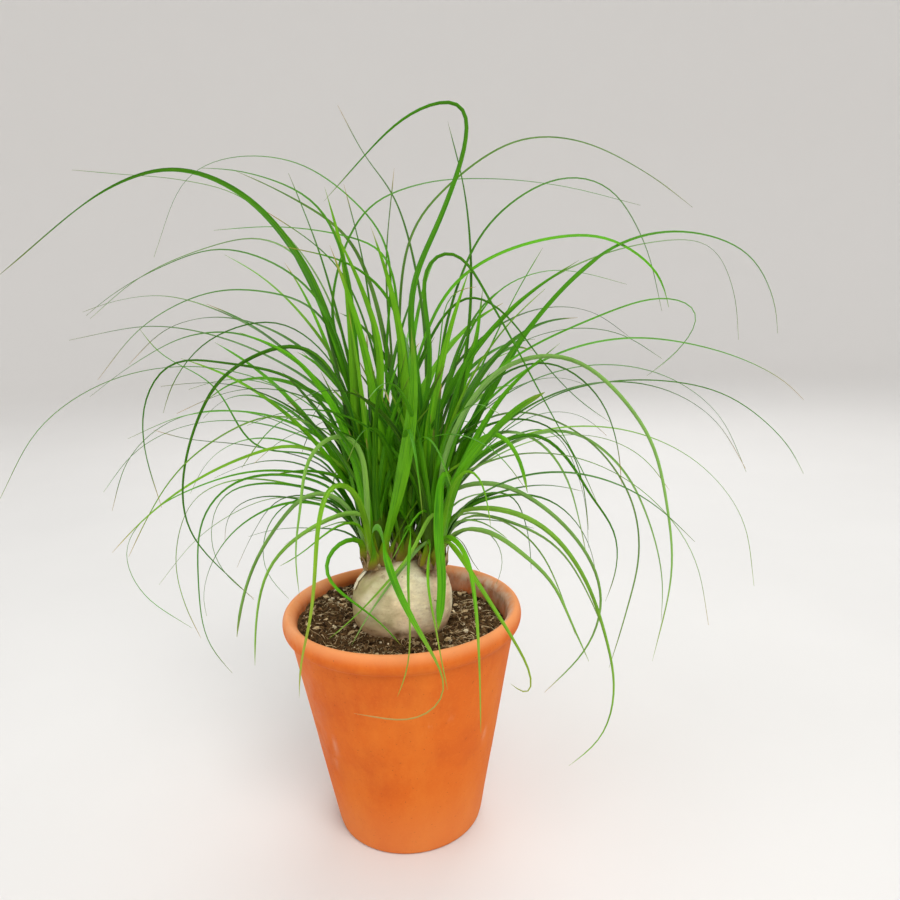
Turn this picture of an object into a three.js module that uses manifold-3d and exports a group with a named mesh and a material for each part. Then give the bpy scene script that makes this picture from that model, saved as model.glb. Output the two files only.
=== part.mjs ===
// Ponytail palm in a round terracotta pot, in millimetres, +Z up.
// The origin is the centre of the pot's flat foot, and +Y points to the back of the plant.
import * as THREE from "three";
import { mergeVertices } from "three/addons/utils/BufferGeometryUtils.js";
import Module from "manifold-3d";

const wasm = await Module();
wasm.setup();

// Pot
const POT_HEIGHT = 146;
const POT_RIM_RADIUS = 75;
const POT_FOOT_RADIUS = 46.5;
const RIM_HALF_WIDTH = 4.7;
const RIM_HALF_HEIGHT = 6.4;
const WALL_TOP_RADIUS = 70.8;
const WALL_THICKNESS = 5;
const FLOOR_THICKNESS = 9;
const FOOT_ROUND = 2;
const FLOOR_ROUND = 3;
const DRAIN_RADIUS = 9;
const POT_SIDES = 48;
const RIM_STEPS = 12;
const RIM_FROM = -1.4;
const RIM_TO = Math.PI + 0.3;
const WALL_HEIGHTS = [122, 49, FLOOR_THICKNESS + FLOOR_ROUND];

// Soil
const SOIL_TOP = 131;
const SOIL_LUMP = 1.6;
const SOIL_RINGS = 8;
const TOUCH_GAP = 0.3;

// Caudex, whose profile runs from the root end up to the crown, as radius and height
const CAUDEX_PROFILE = [
  [0, 72],
  [4, 78],
  [10, 95],
  [17, 110],
  [22.5, 121],
  [27.6, 131],
  [31, 139],
  [31.8, 147],
  [30.4, 156],
  [26.5, 164],
  [19.5, 170],
  [10, 173.2],
  [0, 174],
];
const CAUDEX_HIDDEN_ROWS = 5;
const CAUDEX_SHOWN_ROWS = 9;
const CAUDEX_BUMP = 0.5;
const CAUDEX_SIDES = 40;
const NECK_RADIUS = 7.6;
const NECK_FOOT = 162;
const NECK_TOP = 178;
const NECK_FLARE = 1.5;
const NECK_ROUND = 0.8;
const NECK_SIDES = 12;

// Leaf heads, by the place of each neck's axis
const HEADS = { left: [-14, -2], middle: [2, 8], right: [20, -4] };
const CORE_PROFILE = [
  [0, 0],
  [8.5, 0],
  [9.5, 14],
  [10.5, 30],
  [7.5, 46],
  [0, 58],
];
const CORE_SIDES = 10;
const ROOT_RISE = 4;
const READ_RISE = 3;

// Leaves
const VIEWPOINT = new THREE.Vector3(33, -448, 334);
const KEEL = 0.75;
const KEEL_SHARE = 0.16;
const TIP_WIDTH = 1;
const TAPER_POWER = 0.75;
const FRONT_POWER = 0.55;
const FRONT_DEPTH = -90;
const ROOT_SPREAD = 0.06;
const TURN_SAMPLES = 24;
const TURN_PER_STEP = 0.5;
const STRAIGHT_STEPS = 4;
const LEAST_STEPS = 5;
const MOST_STEPS = 9;
const SEED = 20260;
const GOLDEN_ANGLE = Math.PI * (3 - Math.sqrt(5));

// Each leaf that gives the plant its look: its head, how far its tip stands behind the pot's axis,
// its width, how far it turns its face to the viewpoint, how much it tapers, and its path from the
// head to the tip.
// A path is pairs of x and z as seen from the viewpoint on the upright plane through the pot's axis.
const READ_LEAVES = [
  // Tall arches to the left
  ["left", 40, 6.6, 1, 1, -22, 268, -31, 303, -48, 354, -79, 394, -116, 410, -154, 402, -229, 352],
  ["middle", 90, 3, 0.3, 1, -18, 270, -42, 350, -80, 393, -115, 404, -150, 408, -176, 411],
  ["middle", 70, 2.6, 0.3, 1, -4, 290, 0, 364, -20, 392, -50, 412, -89, 415, -113, 404, -135, 362],
  ["left", 60, 4, 0.3, 1, -34, 300, -50, 358, -72, 371, -109, 365, -146, 350, -176, 328],
  ["left", 20, 3.6, 0.3, 1, -26, 290, -40, 333, -61, 354, -96, 366, -130, 357, -161, 342, -178, 330],
  ["left", 50, 4, 0.4, 1, -25, 280, -43, 329, -81, 342, -110, 340, -147, 322, -176, 292],
  ["left", 80, 4, 0.2, 1, -38, 275, -61, 305, -89, 325, -129, 340, -160, 338, -180, 332],
  ["left", 35, 5, 0.4, 1, -24, 248, -41, 280, -66, 299, -100, 315, -140, 323, -190, 316],
  ["left", -40, 5.5, 0.9, 1, -38, 266, -60, 290, -101, 300, -131, 302, -149, 280, -153, 252, -146, 212],
  ["left", -20, 4, 0.3, 1, -30, 288, -57, 320, -75, 324, -111, 312, -134, 285, -139, 271],
  ["left", -30, 5.2, 0.5, 1, -27, 272, -52, 309, -99, 294, -118, 268, -132, 226, -130, 195, -94, 150],
  ["left", 30, 4.2, 0.3, 1, -32, 240, -60, 262, -93, 271, -128, 269, -162, 256],
  ["middle", 149, 4, 0.3, 1, -30, 270, -80, 314, -117, 317, -155, 300, -182, 282],
  ["left", 70, 2.6, 0.3, 1, -45, 240, -86, 249, -107, 287, -138, 307, -148, 322],
  ["left", 60, 3, 0.3, 1, -40, 232, -86, 249, -128, 255, -146, 261],
  ["middle", 60, 5, 0.7, 1, 3, 250, -3, 306, -11, 345, -24, 372, -59, 396, -84, 408],
  ["left", -10, 4.6, 0.6, 1, -19, 240, -21, 308, -25, 357, -40, 390, -81, 408, -103, 410],
  ["middle", 100, 3, 0.3, 1, -10, 300, -26, 349, -42, 367, -72, 388],
  ["middle", 50, 3.4, 0.5, 1, 4, 280, -1, 360, -21, 370, -62, 377, -99, 376],
  ["left", -15, 6, 0.9, 0.9, -12, 250, -7, 306, -18, 347, -32, 379],
  ["middle", -10, 5, 0.7, 1, 5, 240, 8, 308, 0, 335, -21, 355, -60, 366],
  ["left", 30, 3.6, 0.4, 1, -20, 260, -37, 354, -49, 392, -54, 406],
  ["middle", 40, 3.4, 0.4, 1, -8, 280, -14, 355, -23, 399],
  // Tall arches to the right
  ["right", -10, 5, 0.7, 1, 16, 262, 12, 338, 31, 383, 46, 420, 47, 441, 30, 441, 10, 432, -35, 390],
  ["left", 70, 3.4, 0.4, 1, -24, 280, -34, 330, -12, 384, 20, 398, 57, 400, 100, 395, 146, 383],
  ["middle", 60, 4, 0.4, 1, 4, 290, 14, 370, 38, 398, 76, 420, 110, 419, 150, 400, 176, 381],
  ["right", 30, 3.6, 0.5, 1, 38, 262, 48, 336, 46, 391, 37, 431],
  ["right", 40, 4.2, 0.4, 1, 26, 262, 34, 322, 59, 375, 99, 399, 127, 394, 149, 362, 160, 323],
  ["middle", 20, 4.4, 0.5, 0.7, 8, 270, 33, 336, 59, 356, 100, 367, 129, 365, 158, 344, 164, 325],
  ["right", 30, 5.8, 0.8, 1, 35, 230, 54, 269, 88, 323, 132, 361, 171, 368, 210, 354, 227, 324, 229, 308],
  ["right", 70, 3, 0.3, 1, 26, 250, 58, 314, 99, 346, 150, 362, 187, 360, 202, 333, 206, 305],
  ["right", 90, 3, 0.3, 1, 26, 256, 60, 334, 90, 348, 110, 347, 139, 339],
  ["right", 10, 3.4, 0.4, 1, 30, 240, 60, 289, 120, 320, 162, 331, 183, 322, 171, 300, 152, 285],
  ["right", -89, 5.2, 0.5, 1, 30, 240, 65, 292, 107, 297, 153, 251, 167, 201, 171, 160, 160, 100],
  ["right", 10, 4, 0.3, 1, 30, 235, 60, 276, 99, 300, 144, 308, 200, 297, 236, 279, 247, 268],
  ["right", -10, 3.6, 0.3, 1, 34, 222, 67, 256, 99, 276, 145, 283, 199, 273, 239, 241, 250, 222],
  ["right", -60, 5.6, 0.9, 0.5, 36, 225, 53, 246, 74, 268, 91, 277],
  ["right", -20, 4.4, 0.4, 1, 34, 250, 64, 288, 95, 295, 124, 273, 136, 240, 138, 218],
  ["middle", -70, 4.6, 0.7, 1, 14, 240, 24, 300, 26, 353, 43, 355, 65, 323, 92, 269, 116, 224, 124, 205],
  ["middle", 0, 3.6, 0.4, 1, 10, 280, 45, 336, 68, 324, 88, 297, 113, 270, 130, 258],
  ["right", 80, 2.6, 0.4, 1, 34, 250, 54, 295, 74, 335, 90, 361],
  ["right", 100, 3.6, 0.5, 1, 20, 260, 19, 330, 6, 390, -11, 415, -24, 441],
  ["middle", 100, 3, 0.4, 1, 0, 300, -1, 354, 6, 407],
  ["right", -20, 3.2, 0.3, 1, 20, 250, 28, 300, 36, 339, 51, 340],
  // Broad leaves that rise in the heart of the plant
  ["left", -48, 8.6, 1, 1, 1, 220, 8, 252, 13, 288, 12, 318],
  ["middle", -10, 6.4, 0.8, 0.9, 9, 253, 7, 281, 6, 310, 0, 346, -9, 376],
  ["left", -5, 6.2, 0.8, 0.9, -22, 223, -23, 269, -23, 310, -26, 362, -34, 398],
  ["middle", -30, 6.4, 0.9, 0.9, -6, 222, -12, 282, -21, 328, -33, 366],
  ["right", 30, 6, 0.8, 0.9, 27, 233, 33, 260, 42, 284, 50, 307, 55, 340],
  ["left", -38, 7.2, 0.9, 1, -22, 226, -29, 254, -40, 279, -61, 305, -90, 318],
  ["right", -36, 6.6, 0.9, 1, 31, 209, 41, 234, 54, 259, 70, 281, 100, 306],
  ["right", -20, 5.6, 0.8, 0.9, 18, 233, 24, 272, 35, 316, 48, 352],
  // Hanging on the left
  ["left", 0, 5, 0.6, 1, -30, 232, -61, 249, -88, 244, -125, 228, -158, 205, -180, 184],
  ["left", 10, 4, 0.3, 1, -36, 222, -62, 239, -89, 239, -112, 230],
  ["left", -30, 4.4, 0.5, 1, -30, 246, -70, 268, -111, 253, -137, 232, -155, 207, -170, 181],
  ["left", 40, 2.6, 0.3, 1, -34, 222, -80, 234, -125, 224, -155, 208, -172, 185, -164, 156, -135, 132],
  ["left", 50, 2.6, 0.3, 1, -30, 210, -63, 224, -97, 229, -126, 217, -141, 179, -138, 148, -130, 125],
  ["left", 0, 4.2, 0.5, 1, -36, 218, -62, 230, -98, 228, -121, 206, -128, 162, -126, 122, -112, 100],
  ["left", 10, 3.6, 0.3, 1, -32, 204, -64, 214, -98, 200, -118, 177, -127, 150, -125, 140],
  ["left", 60, 2.6, 0.3, 1, -30, 206, -73, 217, -103, 207, -128, 190, -153, 162],
  ["left", -50, 5.4, 0.8, 0.45, -34, 214, -54, 220, -72, 203, -92, 174, -104, 141, -107, 125],
  ["left", -60, 4.6, 0.8, 0.8, -21, 207, -41, 203, -65, 190, -83, 172, -93, 141, -97, 105],
  ["left", 30, 2.6, 0.3, 1, -40, 212, -72, 217, -90, 196, -103, 172],
  ["left", 20, 3, 0.3, 1, -38, 214, -80, 226, -108, 219, -118, 190, -112, 169, -94, 151],
  ["left", -50, 3, 0.6, 1, -26, 202, -46, 193, -63, 178, -76, 172],
  ["left", 90, 3, 0.3, 1, -30, 200, -48, 196, -62, 192, -72, 186],
  ["left", -62, 4.8, 0.9, 1, -24, 253, -40, 255, -55, 239, -60, 211, -66, 181, -65, 152],
  ["left", -100, 4.6, 0.9, 0.9, -28, 222, -40, 227, -50, 200, -55, 160, -60, 131, -68, 105, -70, 81],
  // Hanging on the right
  ["right", 20, 2.4, 0.3, 1, 33, 189, 50, 195, 62, 183, 65, 168, 60, 156],
  ["right", -40, 5, 0.7, 0.9, 33, 192, 55, 192, 76, 176, 96, 156, 105, 134, 119, 101],
  ["right", 20, 3.4, 0.4, 0.8, 34, 198, 50, 198, 67, 186],
  ["right", 30, 3, 0.4, 1, 36, 198, 65, 197, 84, 192],
  ["right", -20, 4, 0.5, 1, 36, 204, 68, 196, 88, 177, 100, 150, 110, 120],
  ["right", -62, 5.4, 0.7, 1, 32, 202, 59, 206, 90, 193, 114, 162, 129, 120, 136, 80, 128, 46, 106, 26],
  ["right", -20, 4.2, 0.5, 1, 40, 202, 73, 195, 99, 179, 120, 143, 132, 110, 135, 94],
  ["right", -40, 5.6, 0.8, 0.9, 30, 216, 60, 222, 92, 204, 118, 173, 127, 143, 118, 111, 90, 80],
  ["right", 40, 2.6, 0.3, 1, 30, 207, 53, 216, 73, 213, 78, 198],
  ["right", 30, 3, 0.3, 1, 34, 203, 63, 216, 92, 220, 114, 215],
  ["right", 10, 3.2, 0.4, 1, 40, 206, 83, 214, 104, 203, 119, 180, 123, 160],
  ["right", 0, 4.2, 0.5, 1, 34, 226, 60, 254, 84, 250, 103, 227, 113, 192, 117, 172],
  ["right", -20, 4.2, 0.5, 1, 36, 224, 84, 253, 107, 233, 118, 213, 135, 188, 136, 163, 129, 142],
  ["middle", -30, 4.4, 0.5, 1, 24, 236, 70, 262, 99, 253, 113, 226, 118, 190],
  ["right", 20, 4.4, 0.4, 1, 34, 216, 71, 247, 106, 253, 138, 229, 156, 193, 165, 156, 165, 128],
  ["middle", 0, 3.8, 0.4, 1, 26, 240, 70, 266, 115, 249, 143, 212, 150, 175, 142, 133, 132, 96],
  ["right", -50, 4.8, 0.9, 0.7, 40, 234, 61, 256, 76, 236, 80, 215],
  ["right", -60, 3.6, 0.8, 1, 36, 226, 46, 234, 53, 222, 57, 194],
  ["right", 60, 3, 0.3, 0.9, 28, 190, 37, 188, 45, 171, 50, 164],
  // In front of the pot and of the caudex
  ["right", -100, 4.2, 0.9, 1, 30, 187, 36, 178, 51, 152, 70, 118, 84, 88, 82, 75, 68, 87],
  ["right", -125, 4.2, 0.9, 1, 32, 189, 41, 178, 46, 148, 48, 105, 48, 52],
  ["right", -58, 6.2, 1, 0.5, 28, 232, 26, 214, 24, 190, 26, 160, 22, 126],
  ["right", -48, 3.8, 0.9, 1, 22, 208, 8, 179, -12, 156, -30, 136],
  ["right", -50, 3.4, 0.9, 1, 20, 190, 3, 171, -12, 152, -26, 132],
  ["middle", -40, 3.2, 0.9, 1, 16, 210, 5, 193, -6, 173],
  ["left", -60, 2.8, 0.8, 1, -26, 188, -44, 176, -42, 154, -20, 134, -6, 110],
  ["left", -149, 4.2, 0.9, 1, -12, 200, -8, 170, 4, 137, 18, 103, 22, 80, 4, 64, -35, 69],
  ["middle", -100, 3.6, 0.9, 1, 8, 200, 4, 165, 4, 117, 0, 91, -6, 80],
  ["right", -96, 3.2, 0.9, 1, 20, 190, 16, 160, 21, 126, 24, 100, 27, 84],
];

// Leaves that the rule below adds all round each head: how many, and how long they are
const RULE_LEAVES = { left: 11, middle: 17, right: 11 };
const RULE_LENGTH = [170, 330];
const RULE_WIDTH = [3, 5.6];
const RULE_LIFT = [1.45, 0.75];
const RULE_STEPS = 7;
const REACH_ACROSS = 240;
const REACH_DEEP = 140;
const SHORTER = 0.93;
const FRONT_HALF_ANGLE = 0.9;
const FRONT_LENGTH = 190;
const DROOP_POWER = 1.4;

const CLAY = new THREE.MeshStandardMaterial({ color: 0xd0713d, roughness: 0.85, metalness: 0 });
const EARTH = new THREE.MeshStandardMaterial({ color: 0x3a2a20, roughness: 1, metalness: 0 });
const CORK = new THREE.MeshStandardMaterial({ color: 0xc9b795, roughness: 0.8, metalness: 0 });
const LEAF = new THREE.MeshStandardMaterial({ color: 0x4d8a1e, roughness: 0.5, metalness: 0 });

// Numbers between 0 and 1 in a fixed order
function randomFrom(seed) {
  let state = seed;
  return () => {
    state = (state * 1664525 + 1013904223) % 4294967296;
    return state / 4294967296;
  };
}

function mix(range, share) {
  return range[0] + (range[1] - range[0]) * share;
}

// A smooth uneven value between -1 and 1 at a point
function unevenness(x, y, z, size) {
  const a = Math.sin(x / size + 1.3 * Math.cos(y / size));
  const b = Math.sin(y / size + 1.7 * Math.cos(z / size + 0.6));
  const c = Math.sin(z / size + 1.1 * Math.cos(x / size + 2.1));
  return (a + b + c) / 3;
}

// A geometry with only its places, its shared vertices merged and its collapsed triangles dropped
function closed(geometry) {
  geometry.deleteAttribute("normal");
  geometry.deleteAttribute("uv");
  const merged = mergeVertices(geometry, 1e-3);
  const source = merged.index.array;
  const kept = [];
  for (let i = 0; i < source.length; i += 3) {
    const [a, b, c] = source.slice(i, i + 3);
    if (a !== b && b !== c && c !== a) kept.push(a, b, c);
  }
  merged.setIndex(kept);
  return merged;
}

// A profile of radius and height turned round the upright axis
function turned(profile, sides) {
  const points = profile.map(([radius, height]) => new THREE.Vector2(radius, height));
  const geometry = new THREE.LatheGeometry(points, sides);
  geometry.rotateX(Math.PI / 2);
  return geometry;
}

function solidOf(geometry) {
  return new wasm.Manifold(
    new wasm.Mesh({
      numProp: 3,
      vertProperties: Float32Array.from(geometry.attributes.position.array),
      triVerts: Uint32Array.from(geometry.index.array),
    }),
  );
}

// All solids joined, by pairs
function joined(solids) {
  let layer = solids;
  while (layer.length > 1) {
    const next = [];
    for (let i = 0; i < layer.length; i += 2)
      next.push(i + 1 < layer.length ? layer[i].add(layer[i + 1]) : layer[i]);
    layer = next;
  }
  return layer[0];
}

// The largest body of a solid, with no sealed hollow in it
function largestBody(solid) {
  return solid.decompose().reduce((best, body) => (body.volume() > best.volume() ? body : best));
}

function geometryOf(solid) {
  const mesh = solid.getMesh();
  const geometry = new THREE.BufferGeometry();
  geometry.setAttribute("position", new THREE.BufferAttribute(mesh.vertProperties, 3));
  geometry.setIndex(new THREE.BufferAttribute(mesh.triVerts, 1));
  return geometry;
}

// Pot

function potOuterRadius(height) {
  const wallTop = POT_HEIGHT - 2 * RIM_HALF_HEIGHT;
  return POT_FOOT_RADIUS + ((WALL_TOP_RADIUS - POT_FOOT_RADIUS) * height) / wallTop;
}

function potInnerRadius(height) {
  return potOuterRadius(height) - WALL_THICKNESS;
}

function pot() {
  const rimRadius = POT_RIM_RADIUS - RIM_HALF_WIDTH;
  const rimHeight = POT_HEIGHT - RIM_HALF_HEIGHT;
  const profile = [
    [DRAIN_RADIUS, 0],
    [POT_FOOT_RADIUS - FOOT_ROUND, 0],
    [POT_FOOT_RADIUS, FOOT_ROUND],
    [potOuterRadius(POT_HEIGHT / 2), POT_HEIGHT / 2],
  ];
  for (let i = 0; i <= RIM_STEPS; i++) {
    const angle = mix([RIM_FROM, RIM_TO], i / RIM_STEPS);
    profile.push([
      rimRadius + RIM_HALF_WIDTH * Math.cos(angle),
      rimHeight + RIM_HALF_HEIGHT * Math.sin(angle),
    ]);
  }
  for (const height of WALL_HEIGHTS) profile.push([potInnerRadius(height), height]);
  profile.push([potInnerRadius(FLOOR_THICKNESS) - FLOOR_ROUND, FLOOR_THICKNESS]);
  profile.push([DRAIN_RADIUS, FLOOR_THICKNESS]);
  profile.push([DRAIN_RADIUS, 0]);
  const mesh = new THREE.Mesh(closed(turned(profile, POT_SIDES)), CLAY);
  mesh.name = "pot";
  return mesh;
}

// Soil

// The lowest and highest soil keep clear of the pot and the caudex by the touch gap
function soil() {
  const bottom = FLOOR_THICKNESS + TOUCH_GAP;
  const hole = CAUDEX_PROFILE.filter(([, height]) => height < SOIL_TOP);
  const holeEdge = CAUDEX_PROFILE.find(([, height]) => height >= SOIL_TOP)[0] + 2 * TOUCH_GAP;
  const outerEdge = potInnerRadius(SOIL_TOP) - 3 * TOUCH_GAP;
  const profile = [
    [0, bottom],
    [potInnerRadius(FLOOR_THICKNESS) - FLOOR_ROUND - 1, bottom],
    [potInnerRadius(FLOOR_THICKNESS + FLOOR_ROUND + 1) - TOUCH_GAP, FLOOR_THICKNESS + FLOOR_ROUND + 1],
    [potInnerRadius(WALL_HEIGHTS[1]) - 2 * TOUCH_GAP, WALL_HEIGHTS[1]],
  ];
  for (let i = 0; i <= SOIL_RINGS; i++)
    profile.push([mix([outerEdge, holeEdge], i / SOIL_RINGS), SOIL_TOP]);
  hole.reverse().forEach(([radius, height]) => {
    if (radius > 0) profile.push([radius + 2 * TOUCH_GAP, height - TOUCH_GAP]);
  });
  profile.push([0, CAUDEX_PROFILE[0][1] - 2 * TOUCH_GAP]);
  const geometry = turned(profile, CAUDEX_SIDES);
  const place = geometry.attributes.position;
  for (let i = 0; i < place.count; i++) {
    if (Math.abs(place.getZ(i) - SOIL_TOP) > 1e-3) continue;
    const x = place.getX(i);
    const y = place.getY(i);
    const radius = Math.hypot(x, y);
    if (radius < holeEdge + 1) continue;
    const lump = 0.6 * unevenness(x, y, 0, 5) + 0.4 * unevenness(y, x, 9, 2.3);
    place.setZ(i, SOIL_TOP + SOIL_LUMP * lump);
  }
  const mesh = new THREE.Mesh(closed(geometry), EARTH);
  mesh.name = "soil";
  return mesh;
}

// Caudex

// One short neck, which starts inside the caudex
function neck([x, y]) {
  const profile = [
    [0, NECK_FOOT],
    [NECK_RADIUS + NECK_FLARE, NECK_FOOT],
    [NECK_RADIUS, NECK_TOP - 3 * NECK_ROUND],
    [NECK_RADIUS - NECK_ROUND, NECK_TOP],
    [0, NECK_TOP],
  ];
  const geometry = closed(turned(profile, NECK_SIDES));
  geometry.translate(x, y, 0);
  return solidOf(geometry);
}

function caudex() {
  const shown = CAUDEX_PROFILE.slice(CAUDEX_HIDDEN_ROWS);
  const curve = new THREE.SplineCurve(shown.map(([radius, height]) => new THREE.Vector2(radius, height)));
  const above = curve.getSpacedPoints(CAUDEX_SHOWN_ROWS).map((point) => [point.x, point.y]);
  above[above.length - 1][0] = 0;
  const geometry = turned([...CAUDEX_PROFILE.slice(0, CAUDEX_HIDDEN_ROWS), ...above], CAUDEX_SIDES);
  const place = geometry.attributes.position;
  for (let i = 0; i < place.count; i++) {
    const rise = Math.min(1, Math.max(0, (place.getZ(i) - SOIL_TOP - 4) / 8));
    const [x, y, z] = [place.getX(i), place.getY(i), place.getZ(i)];
    const bump = (rise * CAUDEX_BUMP * unevenness(x, y, z, 7)) / Math.max(1, Math.hypot(x, y));
    place.setXY(i, x * (1 + bump), y * (1 + bump));
  }
  const body = joined([solidOf(closed(geometry)), ...Object.values(HEADS).map(neck)]);
  const mesh = new THREE.Mesh(geometryOf(body), CORK);
  mesh.name = "caudex";
  return mesh;
}

// Leaf crown

// The slim core of one head, from which its leaves stand out
function core([x, y]) {
  const geometry = closed(turned(CORE_PROFILE, CORE_SIDES));
  geometry.translate(x, y, NECK_TOP + TOUCH_GAP);
  return solidOf(geometry);
}

// Where a leaf of a head starts, deep in the head's core
function rootOf(head, rise) {
  const [x, y] = HEADS[head];
  return new THREE.Vector3(x, y, NECK_TOP + ROOT_RISE + rise);
}

// The place at a depth behind the pot's axis that is seen where the upright plane shows x and z
function placeSeen(x, z, depth) {
  const seen = new THREE.Vector3(x, 0, z);
  const share = (depth - VIEWPOINT.y) / -VIEWPOINT.y;
  return seen.sub(VIEWPOINT).multiplyScalar(share).add(VIEWPOINT);
}

// The path of a leaf read off the plant, its depth growing along it
function readPath(head, tipDepth, seen) {
  const root = rootOf(head, READ_RISE);
  root.y += ROOT_SPREAD * tipDepth;
  const flat = [[root.x, root.z]];
  for (let i = 0; i < seen.length; i += 2) flat.push([seen[i], seen[i + 1]]);
  const along = [0];
  for (let i = 1; i < flat.length; i++)
    along.push(along[i - 1] + Math.hypot(flat[i][0] - flat[i - 1][0], flat[i][1] - flat[i - 1][1]));
  const whole = along[along.length - 1];
  const power = tipDepth < FRONT_DEPTH ? FRONT_POWER : 1;
  return flat.map(([x, z], i) => {
    if (i === 0) return root;
    const depth = root.y + (tipDepth - root.y) * Math.pow(along[i] / whole, power);
    return placeSeen(x, z, depth);
  });
}

// The path of a leaf that rises at an angle and bends down under its own weight
function rulePath(head, azimuth, lift, length, droop, rise) {
  const place = rootOf(head, rise);
  const path = [place.clone()];
  for (let i = 0; i < RULE_STEPS; i++) {
    const angle = lift - droop * Math.pow((i + 0.5) / RULE_STEPS, DROOP_POWER);
    const step = length / RULE_STEPS;
    place.x += step * Math.cos(angle) * Math.cos(azimuth);
    place.y += step * Math.cos(angle) * Math.sin(azimuth);
    place.z += step * Math.sin(angle);
    path.push(place.clone());
  }
  return path;
}

function withinReach(path) {
  return path.every((p) => Math.hypot(p.x / REACH_ACROSS, p.y / REACH_DEEP) < 1);
}

// How many steps a curve needs: few where it runs straight and more where it bends
function stepsFor(curve) {
  const points = curve.getSpacedPoints(TURN_SAMPLES);
  let turn = 0;
  for (let i = 1; i < TURN_SAMPLES; i++) {
    const before = points[i].clone().sub(points[i - 1]);
    turn += before.angleTo(points[i + 1].clone().sub(points[i]));
  }
  const wanted = STRAIGHT_STEPS + Math.round(turn / TURN_PER_STEP);
  return Math.min(MOST_STEPS, Math.max(LEAST_STEPS, wanted));
}

// The two edges and the keel of a blade at each step along its path, and last its tip
function bladePlaces(path, width, facing, taper) {
  const curve = new THREE.CatmullRomCurve3(path, false, "centripetal");
  const steps = stepsFor(curve);
  const spine = curve.getSpacedPoints(steps);
  const heading = path[path.length - 1].clone().sub(path[0]).setZ(0).normalize();
  let across = new THREE.Vector3(-heading.y, heading.x, 0);
  const places = [];
  for (let i = 0; i < steps; i++) {
    const far = i / steps;
    const along = curve.getTangentAt(far);
    const plain = across.clone().addScaledVector(along, -across.dot(along)).normalize();
    const shown = along.clone().cross(spine[i].clone().sub(VIEWPOINT)).normalize();
    if (shown.dot(plain) < 0) shown.negate();
    const share = (facing * Math.min(1, i / 2)) / 2;
    across = plain.lerp(shown, share).normalize();
    const below = across.clone().cross(along).normalize();
    const half = Math.max(TIP_WIDTH, width * Math.pow(1 - taper * far, TAPER_POWER)) / 2;
    const keel = Math.max(KEEL, 2 * half * KEEL_SHARE);
    places.push(spine[i].clone().addScaledVector(across, half));
    places.push(spine[i].clone().addScaledVector(across, -half));
    places.push(spine[i].clone().addScaledVector(below, keel));
  }
  places.push(spine[steps]);
  return places;
}

// One blade along a path: a keeled section of three sides that tapers to a point
function blade(path, width, facing, taper) {
  const places = bladePlaces(path, width, facing, taper);
  const tip = places.length - 1;
  const sides = [
    [1, 0],
    [2, 1],
    [0, 2],
  ];
  const faces = [2, 1, 0];
  for (let now = 0; now + 3 < tip; now += 3) {
    const next = now + 3;
    for (const [a, b] of sides) {
      faces.push(now + b, now + a, next + b);
      faces.push(now + a, next + a, next + b);
    }
  }
  for (const [a, b] of sides) faces.push(tip - 3 + b, tip - 3 + a, tip);
  const geometry = new THREE.BufferGeometry().setFromPoints(places);
  geometry.setIndex(faces);
  return solidOf(geometry);
}

function readBlades() {
  return READ_LEAVES.map(([head, tipDepth, width, facing, taper, ...seen]) =>
    blade(readPath(head, tipDepth, seen), width, facing, taper),
  );
}

// Leaves all round a head: the inner ones stand steeper, and those to the front stay short and high
function ruleBlades(head, seed) {
  const random = randomFrom(seed);
  const count = RULE_LEAVES[head];
  const blades = [];
  for (let i = 0; i < count; i++) {
    const azimuth = i * GOLDEN_ANGLE + random() * 0.5 + seed;
    const outer = (i + 0.5) / count;
    const front = Math.cos(azimuth + Math.PI / 2) > Math.cos(FRONT_HALF_ANGLE);
    const lift = front ? RULE_LIFT[0] - 0.1 : mix(RULE_LIFT, outer) + (random() - 0.5) * 0.15;
    let length = front ? FRONT_LENGTH * (0.8 + 0.3 * random()) : mix(RULE_LENGTH, random());
    const droop = 1.1 + 1.3 * random() + 0.5 * outer;
    const rise = 2 + 8 * (1 - outer);
    let path = rulePath(head, azimuth, lift, length, droop, rise);
    while (!withinReach(path)) {
      length *= SHORTER;
      path = rulePath(head, azimuth, lift, length, droop, rise);
    }
    blades.push(blade(path, mix(RULE_WIDTH, random()), 0, 1));
  }
  return blades;
}

function leafCrown() {
  const heads = Object.keys(HEADS);
  const solids = [
    ...heads.map((head) => core(HEADS[head])),
    ...readBlades(),
    ...heads.flatMap((head, i) => ruleBlades(head, SEED + i)),
  ];
  const mesh = new THREE.Mesh(geometryOf(largestBody(joined(solids))), LEAF);
  mesh.name = "leaf_crown";
  return mesh;
}

const plant = new THREE.Group();
plant.name = "potted_ponytail_palm";
plant.add(pot(), soil(), caudex(), leafCrown());

export default plant;
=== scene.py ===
"""A ponytail palm in a terracotta pot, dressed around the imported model, in metres."""
import math

import bpy
import numpy as np
from mathutils import Matrix, Vector, noise


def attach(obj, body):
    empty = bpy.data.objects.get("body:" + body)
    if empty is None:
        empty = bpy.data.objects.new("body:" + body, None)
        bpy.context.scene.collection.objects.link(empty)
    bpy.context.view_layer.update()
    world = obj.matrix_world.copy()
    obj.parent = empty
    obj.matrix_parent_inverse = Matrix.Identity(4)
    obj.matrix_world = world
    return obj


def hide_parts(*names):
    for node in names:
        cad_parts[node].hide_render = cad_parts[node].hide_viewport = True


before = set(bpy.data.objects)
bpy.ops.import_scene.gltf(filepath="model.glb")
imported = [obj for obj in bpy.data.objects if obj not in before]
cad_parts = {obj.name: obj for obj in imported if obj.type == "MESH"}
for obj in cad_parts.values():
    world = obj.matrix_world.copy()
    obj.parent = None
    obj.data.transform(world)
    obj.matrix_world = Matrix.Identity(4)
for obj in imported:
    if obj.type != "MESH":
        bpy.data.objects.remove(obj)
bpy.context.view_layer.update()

MM = 0.001
SEED = 20260
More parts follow.
